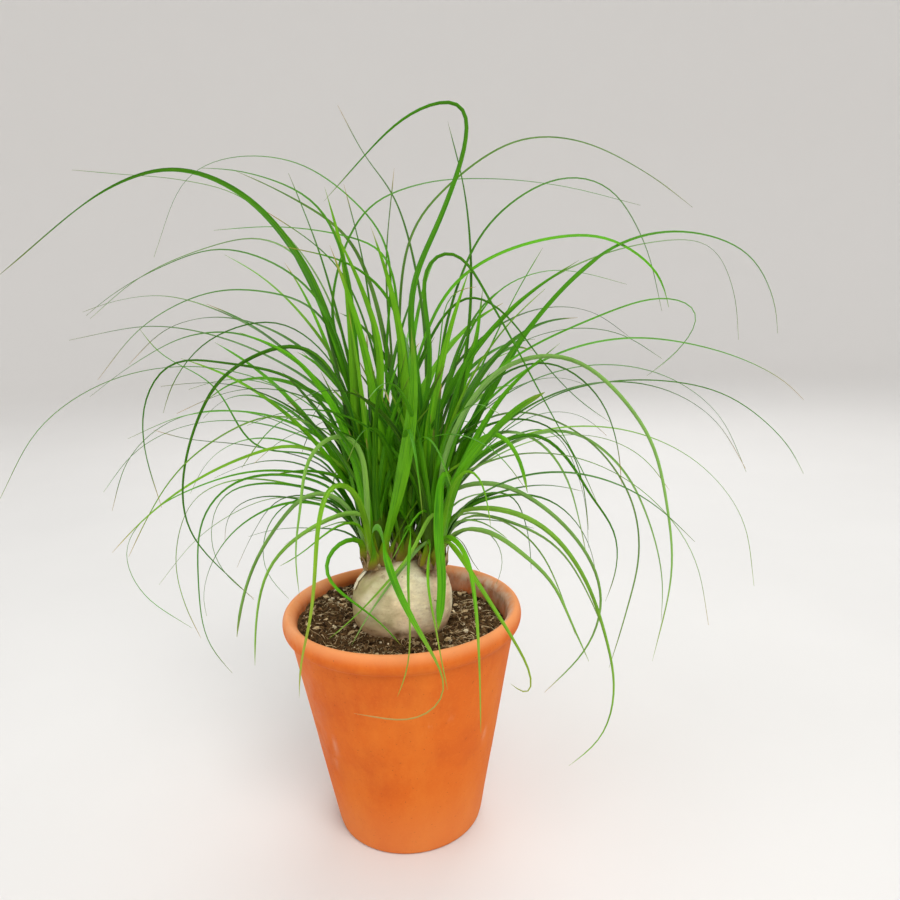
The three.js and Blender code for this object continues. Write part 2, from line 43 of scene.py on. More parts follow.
FRAME_SIDE = 900

# Camera, fitted to the rim and foot of the pot
EYE = np.array([33.0, -448.0, 334.0])
CAMERA_PITCH = math.radians(11.45)
CAMERA_ROLL = math.radians(-1.65)
CAMERA_FOCAL_PIXELS = 750.0

# Light: each lamp's name, place, size, power and colour
LIT_PLACE = (0, 0, 0.2)
LAMPS = [
    ("key", (0.5, -1.1, 1.7), 0.9, 22, (1, 0.985, 0.96)),
    ("fill", (-1.4, -0.6, 0.9), 1.2, 4.5, (0.96, 0.98, 1)),
    ("back", (0.3, 1.2, 1.5), 1.2, 10, (1, 1, 1)),
]
WORLD_COLOUR = (1, 0.995, 0.985, 1)
WORLD_STRENGTH = 0.68

# Stage, in millimetres: how far the floor is flat, how it curves up, and where its colour changes
STAGE_ROWS = [(1, 0), (500, 0), (900, 0), (1500, 0), (3000, 0)]
STAGE_CURVE = 1200
STAGE_CURVE_STEPS = 14
STAGE_HEIGHT = 3600
STAGE_SIDES = 96
STAGE_COLOUR_CHANGE = (600, 2500)

# Pot, soil and caudex, in millimetres
POT_HEIGHT = 146.0
POT_SIDES = 192
FOOT_RADIUS = 46.5
FOOT_ROUND = 2.2
RIM_RIDGE = 70.3
CREST_RADIUS = 71.6
CREST_OUTER = 3.4
CREST_INNER = 5.2
CREST_RISE = 6.2
CREST_MIDDLE = 139.3
RIM_SLANT = 1.33
WALL_TOP_RADIUS = 70.8
WALL_TOP_HEIGHT = 133.2
WALL = 5.0
FLOOR = 9.0
DRAIN_RADIUS = 9.0
SOIL_TOP = 131.0
SOIL_INNER = 28.6
SOIL_OUTER = 64.0
SOIL_SLOPE = 8.0
CAUDEX_PROFILE = [
    (0, 72), (4, 78), (10, 95), (17, 110), (22.5, 121), (27.6, 131), (31, 139), (31.8, 147),
    (30.4, 156), (26.5, 164), (19.5, 170), (10, 173.2), (0, 174),
]
CAUDEX_HIDDEN_ROWS = 4
CAUDEX_SIDES = 200
NECK_RADIUS = 7.6
NECK_FOOT = 160
NECK_TOP = 178.0
NECK_STEPS = 21
HEADS = {"left": (-14, -2), "middle": (2, 8), "right": (20, -4)}
ROOT_RISE = 4.0

# Flakes of bark: the turn round the caudex, the height, the width and how tall they are
FLAKES = [(-2.9, 164, 5.5, 12), (-0.35, 162, 5, 4), (2.2, 158, 7, 6)]

# Scuffs on the pot: the turn round it, the height, how wide they are in radians and how tall
SCUFFS = [
    (-0.62, 74, 0.03, 5), (-2.32, 74, 0.04, 6), (-2.38, 61, 0.035, 4), (-1.1, 99, 0.02, 2),
    (1.2, 80, 0.03, 4),
]

# Brown knots in the bark: the place, how wide they spread and how strong they are
KNOTS = [(-2, -31, 137, 8, 0.9), (24, -20, 148, 10, 0.7)]

# Husks round each neck
HUSK_COUNT = 13
HUSK_SPREAD = (0.12, 0.34)
HUSK_HEIGHT = (5, 15)
HUSK_FLARE = (0.3, 3.2)
HUSK_FOOT = 169.5
HUSK_RADIUS = 9.2

# Leaves: tips in front of the pot are nearer than the front depth and come forward early
FRONT_POWER = 0.55
FRONT_DEPTH = -90
ROOT_SPREAD = 0.06
TIP_WIDTH = 0.7
TAPER_POWER = 0.75
THIN_FRONT_DEPTH = -40
LONG_LEAF = 240
STATION_EVERY = 5.5
LEAST_STATIONS = 16
SMOOTH_PASSES = 5
SHARP_ANGLE = math.radians(50)
GOLDEN_ANGLE = math.pi * (3 - math.sqrt(5))
RULE_LEAVES = {"left": 11, "middle": 17, "right": 11}
RULE_LENGTH = (170, 330)
RULE_WIDTH = (3, 5.6)
RULE_LIFT = (1.45, 0.75)
RULE_STEPS = 7
REACH = (240, 140)
SHORTER = 0.93
FRONT_HALF_ANGLE = 0.9
FRONT_LENGTH = 190
INNER_LEAVES = {"left": 30, "middle": 34, "right": 26}
INNER_LENGTH = (80, 240)
INNER_WIDTH = (4.2, 8)
INNER_LIFT = (1.53, 1.1)
HANGING_BELOW = 200

# Inner leaves that would lean to the front stand upright, and are shorter and straighter
TO_THE_FRONT = -0.25
UPRIGHT = 1.42
UPRIGHT_LENGTH = 0.6
UPRIGHT_DROOP = 0.4

# The foot of each leaf, nearest the middle of its neck for the steep leaves and outermost for the others
FAN_REACH = 26.0
FOOT_RADII = (2.5, 8.4)
FOOT_HEIGHTS = (179.5, 173.0)
FOOT_COLOUR_LENGTH = (22, 44)
SHADED_FOOT = (15, 95)
ARCH_GAP = 5.5
ARCH_DROP = 7
ARCH_BEHIND = 5
BESIDE_HEAD = 9
BROAD_LEAF = 5.5
NARROW_WHEN_HANGING = 0.84
NARROWER = 0.92
STEEP_REACH = 45
WITHERED_DEPTH = -140
SHEATH_HALF_WIDTH = 4.6
SHEATH_LENGTH = 17.0

# Each point of a blade's section: how far across, how raised, and whether it lies on the underside
RING = [
    (-1, 1, 0), (-0.5, 0.35, 0), (0, 0, 0), (0.5, 0.35, 0),
    (1, 1, 0), (0.5, 0.35, 1), (0, 0, 1), (-0.5, 0.35, 1),
]
CHANNEL = 0.22
THICKNESS = 0.34

# The green of a leaf from deep at 0 to dull at 1: the mean, the spread, the least and the most
TINT_BRIGHT = (0.53, 0.07, 0.4, 0.66)
# The deep green of the inner leaves is painted shade of the crowded heart of each head
TINT_INNER = (0.22, 0.12, 0.02, 0.42)
TINT_PALE = (0.78, 0.07, 0.6, 0.88)
# The dull dark green of some leaves behind the plant is partly their olive colour and partly painted shade
# of backlit leaves
TINT_DULL = (0.96, 0.03, 0.9, 1)
TINT_NEAR = (0.6, 0.16, 0.3, 0.86)
TINT_SHORT = (0.53, 0.09, 0.3, 0.7)
TINT_LONG = (0.23, 0.13, 0, 0.5)
BRIGHT_SHARE = 0.3
PALE_SHARE = 0.45
DULL_SHARE = 0.4
DULL_DEPTH = 50

# How dry a tip is and how far along it starts: a few are drier, and those before the pot start early
DRY_SHARE = 0.25
TIP_SHARES = (0.25, 0.8)
TIP_FROM = (0.84, 0.97)
FRONT_TIP = (0.42, 0.5)
WITHERED_TIP = (1, 0.5)

# Colours
PALE_FLOOR = ((0.72, 0.715, 0.705), (0.75, 0.745, 0.735))
PALE_WALL = (0.9, 0.885, 0.87)
CLAY_DEEP = (0.62, 0.105, 0.011)
CLAY_MIDDLE = (0.75, 0.15, 0.012)
CLAY_LIGHT = (0.8, 0.195, 0.022)
CLAY_YELLOW = (0.86, 0.25, 0.03)
CLAY_GRAIN = (0.8, 0.22, 0.04)
CLAY_PIT = (0.36, 0.06, 0.01)
# Painted light: a painted highlight on top of the rim and painted bounce light near the foot
CLAY_PAINTED_LIGHT = (0.86, 0.36, 0.14)
CLAY_STAIN = (0.27, 0.1, 0.045)
# Pale mineral bloom, also used for a painted reflection on the upper left side of the pot
CLAY_BLOOM_AND_SHEEN = (0.8, 0.62, 0.47)
CLAY_SCUFF = (0.85, 0.42, 0.24)
EARTH = ((0.008, 0.004, 0.0015), (0.13, 0.07, 0.025))
CRUMB_DARK = ((0.008, 0.004, 0.0015), (0.15, 0.08, 0.03))
CRUMB_BROWN = ((0.07, 0.035, 0.013), (0.3, 0.18, 0.08))
CHIP = ((0.28, 0.17, 0.07), (0.8, 0.63, 0.37))
PERLITE = ((0.64, 0.51, 0.31), (0.95, 0.85, 0.62))
FIBRE = ((0.36, 0.22, 0.1), (0.76, 0.58, 0.34))
STRAW = ((0.5, 0.37, 0.18), (0.85, 0.7, 0.44))
BARK_GREY = (0.5, 0.47, 0.25)
BARK_CREAM = (0.9, 0.79, 0.5)
BARK_PALE = (1.0, 0.93, 0.67)
# Grey-green that is partly the bark's tint and partly painted shade on the left of the caudex
BARK_GREEN_AND_SHADE = (0.42, 0.38, 0.17)
BARK_PINK = (0.85, 0.57, 0.34)
BARK_SHADE = (0.42, 0.31, 0.17)
BARK_CLOUD = (0.56, 0.46, 0.3)
BARK_FLECK = (0.17, 0.09, 0.035)
BARK_BROWN = (0.16, 0.085, 0.035)
FLAKE = ((0.8, 0.7, 0.45), (1, 0.95, 0.76))
HUSK = ((0.14, 0.08, 0.03), (0.5, 0.36, 0.18))
LEAF_GREENS = [
    (0.0, (0.012, 0.062, 0.001)),
    (0.25, (0.034, 0.2, 0.001)),
    (0.5, (0.09, 0.39, 0.002)),
    (0.68, (0.205, 0.46, 0.015)),
    (0.84, (0.26, 0.48, 0.125)),
    (1.0, (0.045, 0.11, 0.012)),
]
LEAF_DEEP = (0.008, 0.07, 0.001)
LEAF_VEIN = (0.21, 0.5, 0.01)
LEAF_FOOT = (0.33, 0.3, 0.016)
LEAF_HUSK = (0.2, 0.11, 0.04)
LEAF_TIP = (0.5, 0.28, 0.085)

# Each leaf read off the plant, by its head: depth of its tip, width, facing, taper, then its path as
# seen from the camera on the upright plane through the pot's axis, as pairs of x and z.
LEFT_LEAVES = [
    # Tall arches to the left
    (40, 6.8, 0.75, 1.16, -22, 268, -31, 303, -48, 354, -79, 394, -116, 410, -154, 402, -229, 352),
    (60, 4, 0.3, 1, -34, 300, -50, 358, -72, 371, -109, 365, -146, 350, -176, 328),
    (20, 3.6, 0.3, 1, -26, 290, -40, 333, -61, 354, -96, 366, -130, 357, -161, 342, -178, 330),
    (50, 4, 0.4, 1, -25, 280, -43, 329, -81, 342, -110, 340, -147, 322, -176, 292),
    (80, 4, 0.2, 1, -38, 275, -61, 305, -89, 325, -129, 340, -160, 338, -180, 332),
    (35, 5, 0.4, 1, -24, 248, -41, 280, -66, 299, -100, 315, -140, 323, -190, 316),
    (-40, 4, 0.6, 1, -38, 266, -60, 290, -101, 300, -131, 302, -149, 280, -153, 252, -146, 212),
    (-20, 4, 0.3, 1, -30, 288, -57, 320, -75, 324, -111, 312, -134, 285, -139, 271),
    (-30, 4.3, 0.5, 0.95, -27, 272, -52, 309, -99, 294, -118, 268, -132, 226, -130, 195, -94, 150),
    (30, 4.2, 0.3, 1, -32, 240, -60, 262, -93, 271, -128, 269, -162, 256),
    (70, 2.6, 0.3, 1, -45, 240, -86, 249, -107, 287, -138, 307, -148, 322),
    (60, 3, 0.3, 1, -40, 232, -86, 249, -128, 255, -146, 261),
    (-10, 4.6, 0.6, 1, -19, 240, -21, 308, -25, 357, -40, 390, -81, 408, -103, 410),
    (-15, 6, 0.9, 0.9, -12, 250, -7, 306, -18, 347, -32, 379),
    (30, 3.6, 0.4, 1, -20, 260, -37, 354, -49, 392, -54, 406),
    # Tall arches to the right
    (70, 3.4, 0.4, 1, -24, 280, -34, 330, -12, 384, 20, 398, 57, 400, 100, 395, 146, 383),
    # Broad leaves that rise in the heart of the plant
    (-74, 8.6, 1, 1, 1, 220, 8, 252, 13, 288, 12, 318),
    (-5, 6.2, 0.8, 0.9, -22, 223, -23, 269, -23, 310, -26, 362, -34, 398),
    (-38, 7.2, 0.9, 1, -22, 226, -29, 254, -40, 279, -61, 305, -90, 318),
    # Hanging on the left
    (0, 5, 0.6, 1, -30, 232, -61, 249, -88, 244, -125, 228, -158, 205, -180, 184),
    (10, 4, 0.3, 1, -36, 222, -62, 239, -89, 239, -112, 230),
    (-30, 4.4, 0.5, 1, -30, 246, -70, 268, -111, 253, -137, 232, -155, 207, -170, 181),
    (40, 2.6, 0.3, 1, -34, 222, -80, 234, -125, 224, -155, 208, -172, 185, -164, 156, -135, 132),
    (50, 2.6, 0.3, 1, -30, 210, -63, 224, -97, 229, -126, 217, -141, 179, -138, 148, -130, 125),
    (0, 4.2, 0.5, 1, -36, 218, -62, 230, -98, 228, -121, 206, -128, 162, -126, 122, -112, 100),
    (10, 3.6, 0.3, 1, -32, 204, -64, 214, -98, 200, -118, 177, -127, 150, -125, 140),
    (60, 2.6, 0.3, 1, -30, 206, -73, 217, -103, 207, -128, 190, -153, 162),
    (-50, 3.8, 0.6, 0.45, -34, 214, -54, 220, -72, 203, -92, 174, -104, 141, -107, 125),
    (-60, 4.0, 0.8, 0.8, -21, 207, -41, 203, -65, 190, -83, 172, -93, 141, -97, 105),
    (30, 2.6, 0.3, 1, -40, 212, -72, 217, -90, 196, -103, 172),
    (20, 3.8, 0.4, 0.9, -38, 214, -80, 226, -108, 219, -118, 190, -112, 169, -94, 151),
    (-50, 3, 0.6, 1, -26, 202, -46, 193, -63, 178, -76, 172),
    (90, 3, 0.3, 1, -30, 200, -48, 196, -62, 192, -72, 186),
    (-62, 4.8, 0.9, 1, -24, 253, -40, 255, -55, 239, -60, 211, -66, 181, -65, 152),
    (-100, 4.6, 0.9, 0.9, -28, 222, -40, 227, -50, 200, -55, 160, -60, 131, -68, 105, -70, 81),
    # In front of the pot and of the caudex
    (-60, 3.8, 0.8, 1, -27, 191, -45, 181, -49, 165, -33, 148, -14, 132, -2, 116),
    (-149, 4.2, 0.9, 1, -12, 200, -8, 170, 4, 137, 21, 103, 28, 82, 8, 63, -35, 69),
]
MIDDLE_LEAVES = [
    # Tall arches to the left
    (90, 3, 0.3, 1, -18, 270, -42, 350, -80, 393, -115, 404, -150, 408, -176, 411),
    (70, 2.6, 0.3, 1, -4, 290, 0, 364, -20, 392, -50, 412, -89, 415, -113, 404, -135, 362),
    (149, 4, 0.3, 1, -30, 270, -80, 314, -117, 317, -155, 300, -182, 282),
    (60, 5, 0.7, 1, 3, 250, -3, 306, -11, 345, -24, 372, -59, 396, -84, 408),
    (100, 3, 0.3, 1, -10, 300, -26, 349, -42, 367, -72, 388),
    (50, 3.4, 0.5, 1, 4, 280, -1, 360, -21, 370, -62, 377, -99, 376),
    (-10, 5, 0.7, 1, 5, 240, 8, 308, 0, 335, -21, 355, -60, 366),
    (40, 3.4, 0.4, 1, -8, 280, -14, 355, -23, 399),
    # Tall arches to the right
    (60, 4, 0.4, 1, 4, 290, 14, 370, 38, 398, 76, 420, 110, 419, 150, 400, 176, 381),
    (20, 4.4, 0.5, 0.7, 8, 270, 33, 336, 59, 356, 100, 367, 129, 365, 158, 344, 164, 325),
    (-70, 3.8, 0.6, 1, 14, 240, 23, 300, 22, 354, 38, 362, 62, 326, 92, 269, 116, 224, 124, 205),
    (0, 3.6, 0.4, 1, 10, 280, 45, 336, 68, 324, 88, 297, 113, 270, 130, 258),
    (100, 3, 0.4, 1, 0, 300, -1, 354, 6, 407),
    # Broad leaves that rise in the heart of the plant
    (-10, 6.4, 0.8, 0.9, 9, 253, 7, 281, 6, 310, 0, 346, -9, 376),
    (-30, 6.4, 0.9, 0.9, -6, 222, -12, 282, -21, 328, -33, 366),
    # Hanging on the right
    (-30, 4.4, 0.5, 1, 24, 236, 70, 262, 99, 253, 113, 226, 118, 190),
    (0, 4.8, 0.5, 0.92, 26, 240, 70, 266, 115, 249, 143, 212, 150, 175, 142, 133, 132, 96),
    # In front of the pot and of the caudex
    (-40, 3.2, 0.9, 1, 16, 210, 5, 193, -6, 173),
    (-100, 3.6, 0.9, 1, 8, 200, 4, 165, 4, 117, 0, 91, -6, 80),
]
RIGHT_LEAVES = [
    # Tall arches to the right
    (-10, 6.2, 0.7, 1.04, 16, 262, 13, 338, 33, 383, 47, 420, 47, 441, 30, 441, 10, 432, -35, 390),
    (30, 3.6, 0.5, 1, 38, 262, 48, 336, 46, 391, 37, 431),
    (40, 4.2, 0.4, 1, 26, 262, 34, 322, 59, 375, 99, 399, 127, 394, 149, 362, 160, 323),
    (30, 4.8, 0.6, 1, 35, 230, 54, 269, 88, 323, 132, 361, 171, 368, 210, 354, 227, 324, 229, 308),
    (70, 3, 0.3, 1, 26, 250, 58, 314, 99, 346, 150, 362, 187, 360, 202, 333, 206, 305),
    (90, 3, 0.3, 1, 26, 256, 60, 334, 90, 348, 110, 347, 139, 339),
    (10, 3.4, 0.4, 1, 30, 240, 60, 289, 120, 320, 162, 331, 183, 322, 171, 300, 152, 285),
    (-89, 5.2, 0.5, 1, 30, 240, 65, 292, 107, 297, 153, 251, 167, 201, 171, 160, 160, 100),
    (10, 4, 0.3, 1, 30, 235, 60, 276, 99, 300, 144, 308, 200, 297, 236, 279, 247, 268),
    (-10, 3.6, 0.3, 1, 34, 222, 67, 256, 99, 276, 145, 283, 199, 273, 239, 241, 250, 222),
    (-60, 5.6, 0.9, 0.5, 36, 225, 53, 246, 74, 268, 91, 277),
    (-20, 4.4, 0.4, 1, 34, 250, 64, 288, 95, 295, 124, 273, 136, 240, 138, 218),
    (80, 2.6, 0.4, 1, 34, 250, 54, 295, 74, 335, 90, 361),
    (100, 3.6, 0.5, 1, 20, 260, 19, 330, 6, 390, -11, 415, -24, 441),
    (-20, 3.2, 0.3, 1, 20, 250, 28, 300, 36, 339, 51, 340),
    # Broad leaves that rise in the heart of the plant
    (30, 6, 0.8, 0.9, 27, 233, 33, 260, 42, 284, 50, 307, 55, 340),
    (-36, 6.6, 0.9, 1, 31, 209, 41, 234, 54, 259, 70, 281, 100, 306),
    (-20, 5.6, 0.8, 0.9, 18, 233, 24, 272, 35, 316, 48, 352),
    # Hanging on the right
    (20, 2.4, 0.3, 1, 33, 189, 50, 195, 62, 183, 65, 168, 60, 156),
    (-40, 4.5, 0.7, 0.9, 33, 192, 55, 192, 76, 176, 96, 156, 105, 134, 119, 101),
    (20, 3.4, 0.4, 0.8, 34, 198, 50, 198, 67, 186),
    (30, 3, 0.4, 1, 36, 198, 65, 197, 84, 192),
    (-20, 4, 0.5, 1, 36, 204, 68, 196, 88, 177, 100, 150, 110, 120),
    (-62, 4.8, 0.7, 1, 32, 202, 59, 206, 90, 193, 114, 162, 129, 120, 136, 80, 128, 46, 106, 26),
    (-20, 4.2, 0.5, 1, 40, 202, 73, 195, 99, 179, 120, 143, 132, 110, 135, 94),
    (-40, 4.4, 0.7, 0.9, 30, 216, 60, 222, 92, 204, 118, 173, 127, 143, 118, 111, 90, 80),
    (40, 2.6, 0.3, 1, 30, 207, 53, 216, 73, 213, 78, 198),
    (30, 3, 0.3, 1, 34, 203, 63, 216, 92, 220, 114, 215),
    (10, 3.2, 0.4, 1, 40, 206, 83, 214, 104, 203, 119, 180, 123, 160),
    (0, 4.2, 0.5, 1, 34, 226, 60, 254, 84, 250, 103, 227, 113, 192, 117, 172),
    (-20, 4.2, 0.5, 1, 36, 224, 84, 253, 107, 233, 118, 213, 135, 188, 136, 163, 129, 142),
    (20, 4.6, 0.4, 0.9, 34, 216, 71, 247, 106, 253, 138, 229, 156, 193, 165, 156, 165, 128),
    (-50, 4.8, 0.9, 0.7, 40, 234, 61, 256, 76, 236, 80, 215),
    (-60, 3.6, 0.8, 1, 36, 226, 46, 234, 53, 222, 57, 194),
    (60, 3, 0.3, 0.9, 28, 190, 37, 188, 45, 171, 50, 164),
    # In front of the pot and of the caudex
    (-100, 4.2, 0.9, 1, 30, 187, 36, 178, 51, 152, 70, 118, 84, 88, 82, 75, 68, 87),
    (-125, 4.2, 0.9, 1, 32, 189, 41, 178, 46, 148, 48, 105, 48, 52),
    (-58, 7.4, 1, 0.5, 28, 232, 26, 214, 24, 190, 26, 160, 22, 126),
    (-48, 3.8, 0.9, 1, 22, 208, 8, 179, -12, 156, -30, 137, -48, 122),
    (-50, 3.4, 0.9, 1, 20, 190, 3, 171, -12, 152, -25, 133, -34, 117),
    (-96, 3.2, 0.9, 1, 20, 190, 16, 160, 21, 126, 24, 100, 27, 84),
]
READ_LEAVES = {"left": LEFT_LEAVES, "middle": MIDDLE_LEAVES, "right": RIGHT_LEAVES}

# Fine leaves between them, each after the name of its head
FINE_LEAVES = [
    ("left", 20, 2.6, 0.4, 1, -36, 212, -62, 216, -74, 209, -83, 197, -86, 184, -86, 169, -72, 150),
    ("left", 40, 2.4, 0.4, 1, -36, 206, -61, 215, -79, 218, -93, 216, -104, 209, -108, 201, -109, 190),
    ("left", 50, 2.6, 0.3, 1, -33, 194, -52, 196, -69, 197, -84, 195, -94, 192),
    ("right", 30, 2.6, 0.4, 1, 38, 206, 54, 216, 69, 216, 75, 209, 78, 198, 81, 185, 82, 165),
    ("right", 40, 3.2, 0.4, 1, 36, 224, 70, 250, 88, 256, 99, 251, 107, 237, 116, 207, 118, 178),
]


def random_from(seed):
    """Numbers between 0 and 1 in a fixed order, the same ones that the solids use."""
    state = seed
    while True:
        state = (state * 1664525 + 1013904223) % 4294967296
        yield state / 4294967296


def mix(span, share):
    return span[0] + (span[1] - span[0]) * share


def smooth_step(low, high, value):
    """From 0 at the low value to 1 at the high one, which may also be the smaller of the two."""
    t = float(np.clip((value - low) / (high - low), 0, 1))
    return t * t * (3 - 2 * t)


def unit(v):
    return v / max(np.linalg.norm(v), 1e-9)


def polar(radius, angle, height):
    """The place at a radius, a turn round the upright axis and a height."""
    return radius * math.cos(angle), radius * math.sin(angle), height


def wave(p, scale, shift=(0, 0, 0)):
    """Smooth noise at a place, about zero."""
    return noise.noise(p * scale + Vector(shift))


def drawn(rng, mean, spread, low, high):
    """A draw near a mean that stays between two values."""
    return float(np.clip(rng.normal(mean, spread), low, high))


# Mesh building


class Gathered:
    """Points and faces of many small bodies that become one piece."""

    def __init__(self):
        self.points = []
        self.faces = []
        self.tones = []
        self.uvs = []

    def add(self, points, faces, tones=(), uvs=()):
        start = len(self.points)
        self.points.extend(points)
        self.faces.extend(tuple(start + i for i in face) for face in faces)
        self.tones.extend(tones)
        self.uvs.extend(uvs)


def placed(name, data):
    """A new object in the scene."""
    made = bpy.data.objects.new(name, data)
    bpy.context.scene.collection.objects.link(made)
    return made


def mesh_piece(name, points, faces, material, slot=None, replaced=None, smooth=True):
    """A piece from points in millimetres and faces, which rides on the plant's body."""
    data = bpy.data.meshes.new(name)
    data.from_pydata([tuple(p) for p in np.asarray(points, float) * MM], [], faces)
    data.update()
    data.materials.append(material)
    data.polygons.foreach_set("use_smooth", [smooth] * len(data.polygons))
    piece = placed(name, data)
    if slot:
        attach(piece, "root")
    if replaced:
        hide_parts(replaced)
    return piece


def ring_faces(rows, sides, start=0):
    """Four-sided faces between rows of points that go right round."""
    faces = []
    for r in range(rows - 1):
        for s in range(sides):
            a = start + r * sides + s
            b = start + r * sides + (s + 1) % sides
            faces.append((a, b, b + sides, a + sides))
    return faces


def grid_faces(rows, columns):
    """Four-sided faces between the points of an open sheet."""
    starts = [r * columns + c for r in range(rows - 1) for c in range(columns - 1)]
    return [(a, a + 1, a + columns + 1, a + columns) for a in starts]


def end_faces(rows, sides):
    """The two faces that close a run of rings at its ends."""
    return [tuple(reversed(range(sides))), tuple(range((rows - 1) * sides, rows * sides))]


def turned(profile, sides, uneven=None):
    """Points and faces of a profile of radius and height turned round the axis."""
    angles = np.arange(sides) * 2 * math.pi / sides
    points = []
    for radius, height in profile:
        for angle in angles:
            point = Vector(polar(radius, angle, height))
            points.append(uneven(point) if uneven else point)
    return points, ring_faces(len(profile), sides)


def paint(piece, values):
    """The colour attribute that the materials read, with one value for each point."""
    layer = piece.data.color_attributes.new("tone", "FLOAT_COLOR", "POINT")
    flat = np.ones((len(values), 4), np.float32)
    flat[:, :3] = values
    layer.data.foreach_set("color", flat.ravel())


def unwrap(piece, uvs):
    """A UV map with one place for each point."""
    layer = piece.data.uv_layers.new(name="UVMap")
    index = np.empty(len(piece.data.loops), int)
    piece.data.loops.foreach_get("vertex_index", index)
    layer.data.foreach_set("uv", np.array(uvs, np.float32)[index].ravel())


def sheet_piece(name, gathered, material, thickness):
    """A piece of thin open sheets, made thick."""
    piece = mesh_piece(name, gathered.points, gathered.faces, material, "cork")
    piece.modifiers.new("thickness", "SOLIDIFY").thickness = thickness * MM


# Materials


class Nodes:
    """A new node material, with short calls to add and link its nodes."""

    def __init__(self, name):
        self.material = bpy.data.materials.new(name)
        self.material.use_nodes = True
        self.tree = self.material.node_tree
        self.shader = self.tree.nodes["Principled BSDF"]
        self.place = self.add("ShaderNodeTexCoord").outputs["Object"]

    def fill(self, socket, value):
        """Links a socket to another one, or sets its constant value."""
        if isinstance(value, bpy.types.NodeSocket):
            self.tree.links.new(value, socket)
        elif socket.type == "RGBA":
            socket.default_value = (*value, 1)
        else:
            socket.default_value = value

    def add(self, kind, inputs=None, **settings):
        node = self.tree.nodes.new(kind)
        for key, value in settings.items():
            setattr(node, key, value)
        for socket, value in (inputs or {}).items():
            self.fill(node.inputs[socket], value)
        return node

    def stretched(self, source, scale, shift=(0, 0, 0)):
        inputs = {"Vector": source, "Scale": scale, "Location": shift}
        return self.add("ShaderNodeMapping", inputs).outputs["Vector"]

    def noise(self, source, scale, detail, roughness):
        inputs = {"Vector": source, "Scale": scale, "Detail": detail, "Roughness": roughness}
        return self.add("ShaderNodeTexNoise", inputs).outputs["Fac"]

    def grain(self, scale, detail, roughness, stretch=(1, 1, 1), shift=(0, 0, 0)):
        """Noise over the piece itself, stretched and shifted."""
        return self.noise(self.stretched(self.place, stretch, shift), scale, detail, roughness)

    def ramp(self, source, stops):
        node = self.add("ShaderNodeValToRGB", {"Fac": source})
        ramp = node.color_ramp
        while len(ramp.elements) < len(stops):
            ramp.elements.new(0.5)
        for element, (position, colour) in zip(ramp.elements, stops):
            element.position = position
            element.color = (*colour, 1)
        return node.outputs["Color"]

    def mask(self, source, low, high, most=1.0):
        """Nothing at the low value of a source, and the most at the high one, on either side."""
        stops = sorted([(low, (0, 0, 0)), (high, (most, most, most))])
        return self.ramp(source, stops)

    def between(self, share, first, second):
        inputs = {0: share, 6: first, 7: second}
        return self.add("ShaderNodeMix", inputs, data_type="RGBA").outputs[2]

    def touched(self, base, source, low, high, most, colour):
        """A base with a colour over it, where a source nears its high value."""
        return self.between(self.mask(source, low, high, most), base, colour)

    def times(self, first, second):
        return self.add("ShaderNodeMath", {0: first, 1: second}, operation="MULTIPLY").outputs[0]

    def painted(self):
        """The red, green and blue of the colour attribute, each by itself."""
        tone = self.add("ShaderNodeAttribute", attribute_name="tone").outputs["Color"]
        parts = self.add("ShaderNodeSeparateColor", {"Color": tone})
        return parts.outputs["Red"], parts.outputs["Green"], parts.outputs["Blue"]

    def finish(self, colour, rough, specular=0.5, height=None, strength=0.3, distance=0.0005):
        """The material with its surface, raised by a height where one is given."""
        surface = {"Base Color": colour, "Roughness": rough, "Specular IOR Level": specular}
        if height is not None:
            inputs = {"Height": height, "Strength": strength, "Distance": distance}
            surface["Normal"] = self.add("ShaderNodeBump", inputs).outputs["Normal"]
        for socket, value in surface.items():
            self.fill(self.shader.inputs[socket], value)
        return self.material


def terracotta_material():
    """Orange clay: darker and brown inside, with a painted highlight on top of the rim and painted bounce
    light near the foot, faint scuffs, bloom and a painted reflection on the upper left side.
    """
    n = Nodes("terracotta")
    inside, rim, bloom = n.painted()
    base = n.ramp(n.grain(11, 5, 0.6), [(0.3, CLAY_DEEP), (0.5, CLAY_MIDDLE), (0.72, CLAY_LIGHT)])
    cloud = n.grain(24, 7, 0.7, (1, 1, 0.45), (4, 4, 1))
    base = n.touched(base, cloud, 0.46, 0.72, 0.55, CLAY_YELLOW)
    fine = n.grain(650, 5, 0.65)
    base = n.touched(base, fine, 0.5, 0.8, 0.5, CLAY_GRAIN)
    pits = n.grain(800, 2, 0.5, shift=(3, 1, 7))
    base = n.touched(base, pits, 0.69, 0.74, 0.6, CLAY_PIT)
    # Painted highlight on top of the rim and painted bounce light near the foot
    base = n.between(rim, base, CLAY_PAINTED_LIGHT)
    browning = n.grain(70, 6, 0.65, (1, 1, 1.6), (2, 8, 5))
    base = n.between(n.times(inside, n.mask(browning, 0.25, 0.65)), base, CLAY_STAIN)
    # Mineral bloom, the scuffs and a painted reflection on the upper left side, all in the blue channel
    dust = n.grain(120, 7, 0.7, (1, 1, 0.6), (9, 2, 4))
    base = n.between(n.times(bloom, n.mask(dust, 0.35, 0.62)), base, CLAY_BLOOM_AND_SHEEN)
    scuff = n.grain(46, 8, 0.75, (1, 1, 0.25), (1.3, 5, 2))
    base = n.touched(base, scuff, 0.66, 0.76, 0.4, CLAY_SCUFF)
    rough = n.ramp(fine, [(0.3, (0.6, 0.6, 0.6)), (0.7, (0.82, 0.82, 0.82))])
    lines = n.grain(120, 3, 0.5, (0.15, 0.15, 6))
    return n.finish(base, rough, 0.18, n.between(0.35, fine, lines), 0.22)


def grainy_material(name, dark, light, rough=0.9, scale=240, relief=0.5):
    """A loose dull thing, uneven in colour between two tones."""
    n = Nodes(name)
    grain = n.grain(scale, 6, 0.68)
    return n.finish(n.ramp(grain, [(0.32, dark), (0.68, light)]), rough, 0.12, grain, relief, 0.0008)


